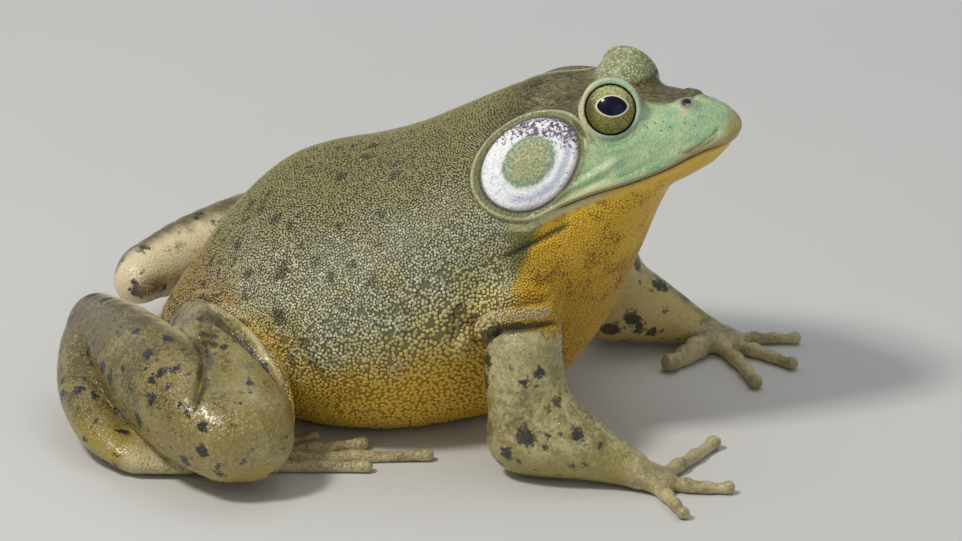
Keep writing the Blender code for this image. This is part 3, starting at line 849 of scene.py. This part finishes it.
def keepGrowth(mesh, points, rise, covered):  # granules' cover and size, and the skin unrolled
    x, y, z = points.T
    lip = mouthHeight(points)
    cover = step(0.35, 0.1, covered) * step(1.0, 2.2, z) * step(1.16, 1.3, earRadius(earPlaces(points)))
    onBack = step(30, 20, x) * (1 - 0.45 * step(0.6, 0.9, rise))
    onThroat = 0.6 * step(-1.5, -4, lip) * step(62, 50, x)
    keep(mesh, "grain", cover * np.maximum(onBack, onThroat))
    shaken = np.random.default_rng(3).uniform(-0.12, 0.12, len(points))
    large = step(0.85, 0.3, rise) * (0.38 + 0.5 * step(-32, 12, x)) * step(32, 20, x)
    keep(mesh, "coarse", np.clip(np.maximum(large, 0.2 * step(20, 30, x)) + shaken, 0, 1))
    turn = np.arctan2(y, z - smoothLine(body["widest"], x)) / (2 * np.pi)
    keep(mesh, "unrolled", np.stack([0.5 + 0.98 * turn, (x + 70) * granules["unrollPerMm"],
                                     np.zeros(len(x))], 1))


block = {"trunk": ((-66, -48, -2), (76, 48, 85)), "trunkBlend": 0.5, "webMargin": 3, "webTop": 6,
         "webBlend": 0.8, "soleEdge": 0.6}


def makeClay():
    clay = Clay(*[gridLine(grain[axis]) for axis in "xyz"])
    clay.add(*block["trunk"], bodyDistance, block["trunkBlend"])
    report("trunk")
    shapeHead(clay)
    report("head")
    for tag in ("right", "left"):
        parts = {**armParts(tag), **legParts(tag)}
        for name in ("shoulder", "arm", "hand", "foot", "leg", "tarsus"):
            for rows in parts[name]:
                limb(clay, rows, blends[name])
        outline = web(tag)
        clay.add((*(outline.min(0) - block["webMargin"]), -1),
                 (*(outline.max(0) + block["webMargin"]), block["webTop"]),
                 sheetDistance(outline), block["webBlend"])
    clay.values = -softMin(-clay.values, clay.lines[2][None, None, :], block["soleEdge"])
    report("limbs")
    return clay


def makeSkin():
    clay = makeClay()
    points, faces = surfaceNet(clay)
    edges = edgesOf(faces)
    report(f"net of {len(faces)} quads")
    points = relax(points, edges, skin["smoothing"])
    points = points + foldHeights(points)[:, None] * normalsOf(points, faces)
    points = shapeEars(points)
    points = shapeMouth(points, normalsOf(points, faces))
    points = relax(points, edges, 1)
    report("folds, ears and mouth")
    piece = meshFrom("skin", points, faces)
    wanted = skin["triangles"]
    face = np.flatnonzero((points[:, 0] > skin["headFrom"]) & (points[:, 2] > skin["headAbove"]))
    group = piece.vertex_groups.new(name="head")
    group.add(face.tolist(), 1, "REPLACE")
    applied(piece, "DECIMATE", ratio=min(1, wanted / (2 * len(faces))), use_collapse_triangulate=True,
            vertex_group="head", invert_vertex_group=True, vertex_group_factor=skin["headCare"])
    piece.vertex_groups.clear()
    points = pointsOf(piece.data)
    points[:, 2] = np.maximum(points[:, 2], 0)
    piece.data.vertices.foreach_set("co", ((points + tableOrigin) * mm).astype(np.float32).ravel())
    piece.data.update()
    piece.data.shade_smooth()
    keepPlaces(piece.data)
    report(f"skin of {len(piece.data.polygons)} faces")
    return piece


# Each step has a spacing and a range of the skin's "coarse" value.
granules = {"steps": ((0.56, -1, 0.33), (0.73, 0.33, 0.66), (0.94, 0.66, 2)), "density": 7,
            "wide": 0.85, "tall": 0.4, "tallAt": 0.7, "sunk": 0.06, "spread": (0.84, 1.14), "seed": 5,
            "sides": 6, "rings": 2, "from": (0.05, 0.3), "perPiece": 10400, "unrollPerMm": 0.0042}


class Grower(Paint):  # a tree of geometry nodes, with its inputs by name
    def __init__(self, name, inputs):
        self.tree = bpy.data.node_groups.new(name, "GeometryNodeTree")
        kinds = {"Geometry": "NodeSocketGeometry", "Material": "NodeSocketMaterial"}
        self.tree.interface.new_socket("Geometry", in_out="OUTPUT", socket_type=kinds["Geometry"])
        self.keys = {}
        for key in ("Geometry", "Material", *inputs):
            made = self.tree.interface.new_socket(key, in_out="INPUT",
                                                  socket_type=kinds.get(key, "NodeSocketFloat"))
            self.keys[key] = made.identifier
        start = self.tree.nodes.new("NodeGroupInput")
        self.inputs = {key: Wire(self, start.outputs[key]) for key in self.keys}

    def named(self, name, kind="FLOAT"):
        return self.node("GeometryNodeInputNamedAttribute", {"data_type": kind}, {"Name": name})

    def random(self, low, high, seed):
        return self.node("FunctionNodeRandomValue", {}, {2: low, 3: high, "Seed": seed}, out=1)

    def store(self, geometry, name, value, kind="FLOAT", domain="POINT"):
        return self.node("GeometryNodeStoreNamedAttribute", {"data_type": kind, "domain": domain},
                         {"Geometry": geometry, "Name": name, "Value": value})

    def above(self, value, low):
        return self.maths("GREATER_THAN", value, low)

    def within(self, value, low, high):
        return self.above(value, low) * (1 - self.above(value, high))

    def end(self, geometry):
        last = self.tree.nodes.new("NodeGroupOutput")
        self.put(last.inputs[0], geometry)


def granuleTree():
    grower = Grower("granules", ("Spacing", "Height", "From", "To", "First", "Last"))
    asked = grower.inputs
    spacing = asked["Spacing"]
    # one granule: a six-sided cone swollen to a dome, from 0 at its rim to 1 at its top
    cone = grower.node("GeometryNodeMeshCone", {"fill_type": "NONE"},
                       {"Vertices": granules["sides"], "Side Segments": granules["rings"],
                        "Radius Top": 0, "Radius Bottom": 1, "Depth": 1})
    x, y, _ = grower.split(grower.node("GeometryNodeInputPosition"))
    flat = grower.length(x, y, 0)
    rounder = 1 + (flat * (1 - flat)) * 0.96
    wide = flat * rounder
    level = 1 - wide * wide * wide
    dome = grower.node("GeometryNodeSetPosition", {},
                       {"Geometry": cone, "Position": grower.join(x * rounder, y * rounder, level)})
    dome = grower.store(dome, "dome", level)
    dome = grower.store(dome, "patch", grower.join(x, y, 0), "FLOAT_VECTOR")
    grown = grower.named("grain")
    coarse = grower.named("coarse")
    inRange = grower.within(coarse, asked["From"], asked["To"])
    seeds = grower.node("GeometryNodeDistributePointsOnFaces", {"distribute_method": "POISSON"},
                        {"Mesh": asked["Geometry"],
                         "Selection": grower.above(grown, granules["from"][0]),
                         "Distance Min": spacing, "Density Max": granules["density"] / (spacing * spacing),
                         "Density Factor": inRange * grower.fade(grown, *granules["from"]),
                         "Seed": granules["seed"]})
    facing = Wire(grower, seeds.socket.node.outputs["Rotation"])
    points = grower.store(seeds, "chance", grower.random(0, 1, 1))
    place = grower.node("GeometryNodeInputIndex")
    chosen = grower.within(place + 0.5, asked["First"], asked["Last"])
    low, high = granules["spread"]
    across = spacing * granules["wide"]
    tall = asked["Height"] * grower.fade(grown, -0.3, 0.9) * grower.random(low, high, 4)
    scale = grower.join(across * grower.random(low, high, 2), across * grower.random(low, high, 3), tall)
    pieces = grower.node("GeometryNodeInstanceOnPoints", {},
                         {"Points": points, "Selection": chosen, "Instance": dome,
                          "Rotation": facing, "Scale": scale})
    pieces = grower.node("GeometryNodeRealizeInstances", {}, {"Geometry": pieces})
    patch = grower.scaled(grower.named("patch", "FLOAT_VECTOR"),
                          spacing * (0.5 * granules["unrollPerMm"] / mm))
    spot = grower.vectors("ADD", grower.named("unrolled", "FLOAT_VECTOR"), patch)
    pieces = grower.store(pieces, "OFBake", spot, "FLOAT2", "CORNER")
    sunk = grower.scaled(grower.named("out", "FLOAT_VECTOR"), -granules["sunk"] * mm)
    pieces = grower.node("GeometryNodeSetPosition", {}, {"Geometry": pieces, "Offset": sunk})
    grower.end(grower.node("GeometryNodeSetMaterial", {}, {"Geometry": pieces,
                                                           "Material": asked["Material"]}))
    return grower


def growGranules(base, material):
    grower = granuleTree()
    domePoints = granules["sides"] * granules["rings"] + 1
    made = []
    for spacing, low, high in granules["steps"]:
        first, full = 0, True
        while full:
            piece = placed(f"granules_{len(made) + 1}", base.data)
            growth = piece.modifiers.new("growth", "NODES")
            growth.node_group = grower.tree
            values = {"Material": material, "Spacing": spacing * mm, "From": low, "To": high,
                      "Height": granules["tall"] * mm * spacing / granules["tallAt"],
                      "First": first, "Last": first + granules["perPiece"]}
            for key, value in values.items():
                growth[grower.keys[key]] = value
            depsgraph = bpy.context.evaluated_depsgraph_get()
            mesh = bpy.data.meshes.new_from_object(piece.evaluated_get(depsgraph),
                                                   preserve_all_data_layers=True, depsgraph=depsgraph)
            piece.modifiers.remove(growth)
            piece.data = mesh
            mesh.shade_smooth()
            first += granules["perPiece"]
            full = len(mesh.vertices) >= domePoints * granules["perPiece"]
            made.append(piece)
            report(f"{piece.name} of {len(mesh.polygons)} faces")
    return made


eyeball = {"segments": (72, 48), "cornea": 0.03, "corneaEdge": 0.4}


def makeEye(name, centre, axis):
    up = unit(np.array([0, 0, 1]) - axis * axis[2])
    side = np.cross(up, axis)
    shape = bmesh.new()
    bmesh.ops.create_uvsphere(shape, u_segments=eyeball["segments"][0],
                              v_segments=eyeball["segments"][1], radius=1)
    local = np.array([vert.co for vert in shape.verts])
    bulge = 1 + eyeball["cornea"] * step(eyeball["corneaEdge"], 1, local[:, 2])
    places = centre + eye["radius"] * (local * bulge[:, None]) @ np.array([side, up, axis])
    for vert, place in zip(shape.verts, places):
        vert.co = toWorld(place)
    mesh = bpy.data.meshes.new(name)
    shape.to_mesh(mesh)
    shape.free()
    mesh.shade_smooth()
    keep(mesh, "look", local * (math.copysign(1, side[0]), 1, 1))  # ahead, up and out of the eye
    return placed(name, mesh)


tones = {
    "back": (0.27, 0.24, 0.085), "backDark": (0.09, 0.07, 0.022),
    "crown": (0.145, 0.123, 0.032), "crownDark": (0.06, 0.05, 0.015), "crownFleck": (0.32, 0.285, 0.11),
    "granule": (0.82, 0.77, 0.56), "flank": (0.44, 0.42, 0.21), "gap": (0.19, 0.18, 0.085),
    "brow": (0.64, 0.68, 0.38), "browDark": (0.25, 0.26, 0.12),
    "lowFlank": (0.80, 0.52, 0.06), "lowGap": (0.42, 0.27, 0.02), "belly": (0.85, 0.52, 0.03),
    "shoulder": (0.80, 0.72, 0.34), "throat": (0.78, 0.49, 0.035), "throatDark": (0.32, 0.15, 0.007),
    "neck": (0.20, 0.20, 0.045), "lipLow": (0.82, 0.54, 0.07), "lipPale": (0.66, 0.64, 0.34),
    "lipLine": (0.05, 0.022, 0.004), "lipRim": (0.38, 0.31, 0.12), "lipBand": (0.86, 0.87, 0.46),
    "mint": (0.42, 0.575, 0.285), "mintPale": (0.66, 0.76, 0.50), "mintBlue": (0.24, 0.46, 0.32),
    "snout": (0.50, 0.38, 0.09), "drumRing": (0.97, 0.97, 0.975), "drumBand": (0.45, 0.50, 0.62),
    "drumRim": (0.70, 0.64, 0.62), "drumSpeck": (0.10, 0.07, 0.13), "drumDisc": (0.36, 0.38, 0.16),
    "drumDiscEdge": (0.28, 0.40, 0.24), "drumEdge": (0.05, 0.06, 0.05), "drumGap": (0.24, 0.25, 0.10),
    "drumRidge": (0.62, 0.58, 0.36), "lid": (0.48, 0.62, 0.42), "lidWarm": (0.68, 0.68, 0.40),
    "lidShade": (0.22, 0.28, 0.24), "lidLine": (0.07, 0.07, 0.025), "nose": (0.24, 0.22, 0.20),
    "nosePale": (0.60, 0.56, 0.36),
    "arm": (0.31, 0.265, 0.105), "armPale": (0.56, 0.49, 0.25), "armWarm": (0.34, 0.27, 0.07),
    "digit": (0.56, 0.48, 0.25), "digitDark": (0.32, 0.26, 0.12),
    "leg": (0.29, 0.225, 0.075), "legDark": (0.13, 0.10, 0.035), "legPale": (0.46, 0.375, 0.18),
    "legLow": (0.48, 0.345, 0.05), "legInnerPaleAndLit": (0.80, 0.68, 0.42),
    "flankBlue": (0.40, 0.405, 0.27), "farArm": (0.66, 0.52, 0.19), "lipTan": (0.48, 0.40, 0.21),
    "armDark": (0.17, 0.145, 0.055), "legGreen": (0.27, 0.215, 0.06), "granuleLow": (0.64, 0.56, 0.26),
    "brownSpot": (0.07, 0.045, 0.015), "rump": (0.42, 0.27, 0.08),
    "rumpDark": (0.10, 0.055, 0.012), "discDark": (0.15, 0.18, 0.07), "discPale": (0.52, 0.55, 0.33),
    "foldPale": (0.68, 0.55, 0.27), "crease": (0.05, 0.038, 0.012), "spot": (0.012, 0.014, 0.02),
}
wet = {"trunk": 0.34, "limbs": 0.19, "drum": 0.42, "granuleDepth": 0.3, "specular": 0.55}
cellsPerMm = 1.5
pores = ((55.5, -13.8, 78.5), (56.9, -11.9, 79.1), (58.7, -10.9, 79.2), (58.8, -13.6, 78.0),
         (60.6, -12.0, 78.4), (63.5, -9.7, 78.9), (65.9, -9.4, 78.3))


class SkinPaint(Paint):
    def __init__(self):
        super().__init__("skin")
        self.at = self.place()
        self.x, self.y, self.z = self.split(self.at)
        self.side = self.size(self.y)
        self.folded = self.join(self.x, self.side * -1, self.z)
        self.patches = self.noise(self.at, 0.13, 4, 0.6)
        self.fine = self.noise(self.at, 0.9, 4, 0.65)
        self.patchy, self.finely = self.patches - 0.5, self.fine - 0.5
        self.mottle = self.patches + self.finely * 0.6
        self.mottled = self.mottle - 0.5
        shaken = self.moved(self.at, self.noise(self.at, 0.8, 2, out=1), 0.5)
        # Granule tops are painted paler and their rims and the gaps between them darker: partly the skin's
        # own colour, partly painted light on the tops and painted shade in the gaps.
        grown = self.fade(self.stored("grain"), *granules["from"])
        small = self.fade(self.cells(shaken, cellsPerMm), 0.6, 0.1)
        self.domes = small * (1 - grown) + self.fade(self.stored("dome"), 0, 0.5) * grown
        chance = self.split(self.cells(shaken, cellsPerMm, out=1))[1]
        self.speckle = chance * (1 - grown) + self.stored("chance") * grown
        self.light = self.domes * (0.5 + 0.5 * self.speckle) + self.mottled * 0.7
        self.rise, self.lip, self.fold = [self.stored(name) for name in ("rise", "lip", "fold")]
        self.arm, self.leg, self.digit = self.split(self.stored("limbs", out=1))
        self.inner = self.stored("inner")

    def trunk(self):
        light, rise = self.light, self.rise
        hue = self.noise(self.at, 0.1, 3, 0.6) + (rise - 0.5) * 0.6
        middle = self.blend("flank", "flankBlue", self.fade(hue, 0.48, 0.66))
        grains = self.blend("granuleLow", "granule", self.fade(hue, 0.38, 0.6))
        # The dark gap tone and the pale granule tone follow the granules' height: partly painted shade and
        # painted light.
        flank = self.over("gap", (middle, self.fade(light, 0.05, 0.5)),
                          (grains, self.fade(light, 0.6, 1.05)))
        back = self.ramp(light + self.patchy, (0.05, "backDark"), (0.5, "back"), (0.95, "crownFleck"))
        # The low flank and belly are golden, set brighter than their own colour to stand in for light
        # bounced up from below: partly painted light.
        low = self.ramp(light, (0.03, "lowGap"), (0.55, "lowFlank"))
        low = self.blend(low, "belly", self.fade(rise, 0.14, 0.02) * self.domes)
        shoulder = self.ramp(light, (0.0, "gap"), (0.6, "shoulder"))
        rump = self.ramp(light, (0.1, "rumpDark"), (0.55, "rump"))
        wavy = rise + self.patchy * 0.3
        lowered = wavy - self.fade(self.x, -15, -42) * 0.2
        behind = self.fade(self.x + self.patchy * 30, -36, -52) * self.fade(self.z, 45, 30)
        return self.over(flank, (back, self.fade(rise + self.patchy * 0.48, 0.66, 1.02)),
                         (shoulder, self.fade(self.x, 0, 12) * self.fade(wavy, 0.66, 0.45)),
                         (low, self.fade(lowered, 0.54, 0.26)), (rump, behind * 0.8))

    def limbs(self, colour):
        fleck = self.mottle + (self.noise(self.at, 0.45, 3, 0.6) - 0.5) * 0.5
        # Arms' inner sides take a pale warm tone: partly their paler skin, partly painted light lifting that
        # shaded side.
        arm = self.over(self.ramp(fleck, (0.28, "armDark"), (0.44, "arm"), (0.68, "armPale")),
                        ("armWarm", self.fade(self.z + self.patchy * 10, 14, 5) * 0.8),
                        # the top of the arm is painted lighter: painted light
                        ("armPale", self.fade(self.z, 16, 30) * 0.3), ("farArm", self.inner * 0.85))
        grain = self.mottle + (self.noise(self.at, 1.3, 2, 0.6) - 0.5) * 0.7
        # The x and z terms make the legs lighter low down and ahead and darker on top: painted light and
        # shade.
        grain = grain + (self.domes * self.speckle - 0.25) * 0.3 + self.x * 0.006 - self.z * 0.008 + 0.44
        tint = self.blend("leg", "legGreen", self.fade(self.noise(self.at, 0.09, 2), 0.42, 0.6))
        # The inner sides of the legs' rear parts take a pale cream tone: partly their paler skin, partly
        # painted sunlight.
        far = self.ramp(self.patches + self.finely * 0.3, (0.34, "leg"), (0.44, "legInnerPaleAndLit"))
        leg = self.over("legDark", (tint, self.fade(grain, 0.26, 0.46)),
                        ("legPale", self.fade(grain, 0.5, 0.92)),
                        (far, self.inner * self.fade(self.x, -40, -50)),
                        ("legLow", self.fade(self.z + self.patchy * 12, 13, 4) * 0.6))
        digit = self.ramp(self.mottle, (0.35, "digitDark"), (0.55, "digit"))
        return self.over(colour, (arm, self.arm), (leg, self.leg), (digit, self.digit))

    def head(self, colour):
        x, z, lip = self.x, self.z, self.lip
        body = 1 - self.most(self.most(self.arm, self.leg), self.digit)
        face = self.fade(x + self.patchy * 4, 30, 35)
        tint = self.mottle + self.domes * self.speckle * 0.12
        mint = self.over(self.ramp(tint, (0.3, "mintBlue"), (0.52, "mint"), (0.74, "mintPale")),
                         ("lipTan", self.band(lip, 1.6, 1.5) * self.fade(x, 58, 66) * 0.8),
                         ("snout", self.fade(x + self.mottled * 3, 71.6, 74.4) * 0.85),
                         ("lipBand", self.fade(lip, 3.4, 2.2) * self.fade(x, 56, 44) * 0.8))
        streaks = self.noise(self.stretched(self.at, (0.45, 1, 1)), 1.5, 4, 0.7) + self.patchy * 0.4
        brow = self.ramp(self.light, (0.0, "browDark"), (0.6, "brow"))
        crown = self.over(self.ramp(streaks, (0.41, "crownDark"), (0.53, "crown"), (0.66, "crownFleck")),
                          ("crownDark", self.fade(x, 49, 56) * 0.4),
                          (brow, self.fade(z + self.mottled * 2, 82.3, 83.6)))
        edge = 17 - self.fade(x, 44, 52) * 13.2 - self.fade(x, 61.5, 66) * 8 + self.fade(self.y, 0, 3) * 7
        top = self.fade(self.side - edge + self.mottled * 4, 1.6, -1.4)
        top = self.most(top, self.fade(z + self.mottled * 2, 80.8, 82.3) * self.fade(x, 55, 52))
        jaw = self.mottle + (self.domes - 0.5) * 0.09 + self.fade(x, 48, 60) * 0.12
        jaw = self.over(self.ramp(jaw, (0.34, "throatDark"), (0.52, "throat")),
                        # the throat and chest are painted darker towards the bottom: painted shade
                        ("throatDark", self.fade(z + self.patchy * 14, 52, 38) * 0.4),
                        ("neck", self.fade(x - lip * 0.5 + self.patchy * 6, 37, 33)),
                        ("lipLow", self.fade(lip, -2.6, -1.4) * self.fade(x, 40, 52)),
                        ("lipPale", self.fade(lip, -2.2, -1.2) * self.fade(x, 52, 42) * 0.8))
        under = self.fade(lip + self.patchy * 2, 0.2, -0.2) * body
        return self.over(colour, (mint, face * self.fade(lip, 0, 0.6)),
                         (crown, self.fade(x, 14, 26) * top * self.fade(z, 66, 72)),
                         (jaw, under * self.fade(x + lip * 0.22 + self.mottled * 8, 21, 28)),
                         ("lipRim", face * self.band(lip, 0.8, 0.8)),
                         ("lipLine", face * self.band(lip, 0, 0.42)))

    def drum(self, colour):
        ahead, up, out = self.split(self.stored("drum", out=1))
        tilt = math.radians(ear["tilt"])
        along = (ahead * math.cos(tilt) + up * math.sin(tilt)) / ear["long"]
        across = (up * math.cos(tilt) - ahead * math.sin(tilt)) / ear["short"]
        radius = self.length(along, across, 0)
        near = self.fade(self.size(out), 7, 5)
        rimmed = self.fade(radius + self.mottled * 0.3, 0.86, 0.94) * self.fade(ahead, -4, 4)
        # A band round the middle of the ring, on its front and lower side, is painted blue-grey: painted
        # shade. The same blue-grey also makes flecks.
        shade = self.band(radius + self.mottled * 0.25, 0.77, 0.14) * self.fade(ahead - up * 0.6, 0, 6)
        flecks = self.noise(self.at, 1.1, 4, 0.7)
        farTop = self.fade(self.y, 4, 9) * self.fade(up + self.mottled * 7, 3, 6)
        ring = self.over("drumRing", ("drumRim", rimmed), ("drumBand", shade * 0.85),
                         ("drumSpeck", self.fade(flecks + self.fade(up, 1, 8) * 0.17, 0.62, 0.68)),
                         ("drumBand", self.fade(flecks - self.fade(up, -4, 8) * 0.12, 0.52, 0.57) * 0.35),
                         ("crown", farTop * 0.9))
        grainy = self.noise(self.at, 1.8, 2, 0.6)
        disc = self.over("drumDisc", ("drumDiscEdge", self.fade(radius + self.mottled * 0.3, 0.3, 0.5)),
                         ("discDark", self.fade(grainy, 0.5, 0.38) * 0.7),
                         ("discPale", self.fade(grainy, 0.54, 0.66) * 0.6))
        outside = self.fade(radius + self.finely * 0.16, ear["disc"] - 0.04, ear["disc"] + 0.05)
        # The pale line on the ridge behind the drum is a painted highlight.
        ridge = self.most(self.fade(ahead / radius, 9, 6), self.fade(up, 3, 5))
        ridgeHighlight = self.band(radius, ear["ridge"], 0.055) * ridge
        gap = self.blend("drumGap", colour, self.fade(radius, 1.08, 1.2))
        colour = self.over(colour, (gap, near), ("drumRidge", near * ridgeHighlight * 0.85),
                           (self.blend(disc, ring, outside), near * self.fade(radius, 1.0, 0.955)),
                           ("drumEdge", near * self.band(radius, 1.0, 0.05) * 0.9))
        return colour, near * self.fade(radius, 1.05, 0.98)

    def lids(self, colour):
        ahead, up, out = self.split(self.stored("eyePlace", out=1))
        spoke = self.length(ahead, up, 0)
        near = self.fade(out, 0.7, 1.7) * (1 - self.fade(self.y, 4, 9) * self.fade(up, -1, 2))
        lidTone = self.over("lid", ("lidWarm", self.fade(ahead, -2.5, -5)),
                            ("lidShade", self.fade(ahead * 0.5 - up, 4.6, 7) * 0.7))
        line = self.band(spoke + self.finely * 0.5, 7.95, 0.4) * self.fade(up, -3, 1)
        return self.over(colour, (lidTone, near * self.fade(spoke + self.finely * 0.6, 7.75, 7.3)),
                         ("lidLine", near * line * 0.85), ("lidLine", near * self.fade(spoke, 6.25, 6.0)))

    def nose(self, colour):
        rim = np.array(nostril["at"]) + nostril["facing"] * nostril["bump"][2]
        far = self.reach(self.folded, rim)
        below = self.reach(self.folded, rim + np.array((-0.3, -1.6, -1.6)))
        dots = 0
        for pore in pores:
            dots = self.most(dots, self.fade(self.reach(self.folded, pore), 0.42, 0.2))
        # The nostril's hole is painted near-black: painted shade in the hole.
        return self.over(colour, ("nosePale", self.fade(below + self.finely * 2, 1.9, 1.0) * 0.8),
                         ("nose", self.fade(far + self.finely, 2.1, 1.5) * 0.8),
                         ("spot", self.fade(far, 1.3, 1.0)), ("spot", dots * 0.6))

    def spots(self, zone):
        scale, largest, least, seed = markings[zone]
        shaken = self.moved(self.at, self.noise(self.at, 0.35, 5, 0.75, out=1), 6)
        shaken = self.moved(shaken, seed, 1)
        distance = self.cells(shaken, scale)
        chance = self.split(self.cells(shaken, scale, out=1))[0]
        return self.fade(distance - chance * largest + least + self.finely * 0.34, 0.07, -0.07)


# Dark spots of each zone: how many to a millimetre, their largest and least share of it, and a shift.
markings = {"arm": (0.17, 0.62, 0.14, (17, 8, 4)), "leg": (0.22, 0.58, 0.15, (0.5, 0.5, 0.5)),
            "small": (0.33, 0.46, 0.18, (3, 9, 2)), "back": (0.22, 0.6, 0.15, (9, 5, 4))}


def makeSkinPaint():
    paint = SkinPaint()
    colour, onDrum = paint.drum(paint.head(paint.limbs(paint.trunk())))
    limb = paint.most(paint.arm, paint.leg)
    dark = paint.most(paint.spots("arm") * paint.arm, paint.spots("leg") * paint.leg)
    dark = paint.most(dark, paint.spots("small") * limb * 0.85)
    back = paint.fade(paint.x, 20, -15) * paint.fade(paint.rise, 0.3, 0.5) * (1 - limb)
    colour = paint.over(paint.nose(paint.lids(colour)),
                        # raised folds painted paler: partly their own paler skin, partly a painted highlight
                        # along the ridges
                        ("foldPale", paint.fade(paint.fold, 0.35, 1.0) * (0.5 + 0.4 * paint.domes)),
                        # creases painted near-black: painted shade in the skin's grooves
                        ("crease", paint.fade(paint.fold, -0.08, -0.7) * 0.75),
                        ("spot", dark * (1 - paint.digit) * 0.92),
                        ("brownSpot", paint.spots("back") * back * 0.7))
    roughness = wet["trunk"] + (wet["limbs"] - wet["trunk"]) * limb * (1 - 0.6 * paint.inner)
    roughness = roughness + (wet["drum"] - wet["trunk"]) * onDrum
    calm = paint.most(paint.most(onDrum * 0.6, paint.fade(paint.x, 30, 38) * 0.55), limb * 0.6)
    height = paint.domes * (0.5 + 0.5 * paint.speckle) * (1 - calm) + paint.fine * (0.4 - 0.1 * limb)
    normal = paint.bump(height, wet["granuleDepth"])
    return paint.finish(Base_Color=colour, Roughness=roughness, Normal=normal,
                        Specular_IOR_Level=wet["specular"])


iris = {"gold": (0.42, 0.38, 0.11), "bright": (0.66, 0.66, 0.28), "brown": (0.10, 0.05, 0.018),
        "dark": (0.02, 0.018, 0.01), "pupil": (0.003, 0.004, 0.025), "ring": (0.85, 0.78, 0.55),
        "pupilSize": (0.53, 0.35), "pupilAt": (0.075, 0.105), "edge": 0.9, "coat": 0.03, "coatIor": 1.3}


def makeEyePaint():
    paint = Paint("eye")
    look = paint.stored("look", out=1)
    ahead, up, _ = paint.split(look)
    radius = paint.length(ahead, up, 0)
    across = paint.size(ahead - iris["pupilAt"][0]) / iris["pupilSize"][0]
    along = paint.size(up - iris["pupilAt"][1]) / iris["pupilSize"][1]
    oval = (across**1.85 + along**1.7)**0.56
    angle = paint.maths("ARCTAN2", up, ahead)
    streaks = paint.noise(paint.join(angle * 9, radius * 5, 0), 1.6, 4, 0.6)
    net = paint.size(paint.noise(look, 13, 3, 0.65) - 0.5)
    blotch = paint.noise(look, 4.5, 3, 0.6) - 0.5
    colour = paint.over(iris["gold"], (iris["bright"], paint.fade(up + blotch, 0.1, 0.6)),
                        (iris["brown"], paint.fade(ahead + blotch * 0.5, -0.4, -0.75) * 0.75),
                        (iris["dark"], paint.fade(net, 0.062, 0.016) * 0.85),
                        (iris["brown"], paint.fade(streaks, 0.5, 0.62) * paint.fade(up, 0.15, -0.25) * 0.6),
                        (iris["dark"], paint.fade(radius, iris["edge"] - 0.08, iris["edge"] - 0.01)),
                        (iris["ring"], paint.fade(oval, 1.145, 1.095)),
                        (iris["pupil"], paint.fade(oval, 1.01, 0.97)))
    return paint.finish(Base_Color=colour, Roughness=0.4, Coat_Weight=1.0, Coat_Roughness=iris["coat"],
                        Coat_IOR=iris["coatIor"], Specular_IOR_Level=0.1)


studioFloor = {"half": 3.0, "drop": 0.0001, "tones": ((0.66, 0.655, 0.64), (0.7, 0.695, 0.68)),
               "roughness": 0.65}


def makeFloorPaint():
    paint = Paint("floor")
    tone = paint.blend(*studioFloor["tones"], paint.noise(paint.place(), 0.01, 3))
    return paint.finish(Base_Color=tone, Roughness=studioFloor["roughness"])


def dress(piece, material):
    piece.data.materials.clear()
    piece.data.materials.append(material)


frog = makeSkin()
flesh = [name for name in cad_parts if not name.startswith("eye_")]
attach(frog, "root")
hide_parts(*flesh)
skinPaint = makeSkinPaint()
for piece in growGranules(frog, skinPaint):
    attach(piece, "root")
dress(frog, skinPaint)

eyePaint = makeEyePaint()
for tag, flip, centre in zip(("right", "left"), (1, -1), sides(eye["centre"], eye["turn"])):
    ball = makeEye(f"eyeball_{tag}", centre, eye["axis"] * (1, flip, 1))
    dress(ball, eyePaint)
    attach(ball, "root")
    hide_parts(f"eye_{tag}")
report("eyes")

bpy.ops.mesh.primitive_grid_add(x_subdivisions=2, y_subdivisions=2, size=2 * studioFloor["half"],
                                location=(0, 0, -studioFloor["drop"]))
ground = bpy.context.object
ground.name = "floor"
dress(ground, makeFloorPaint())
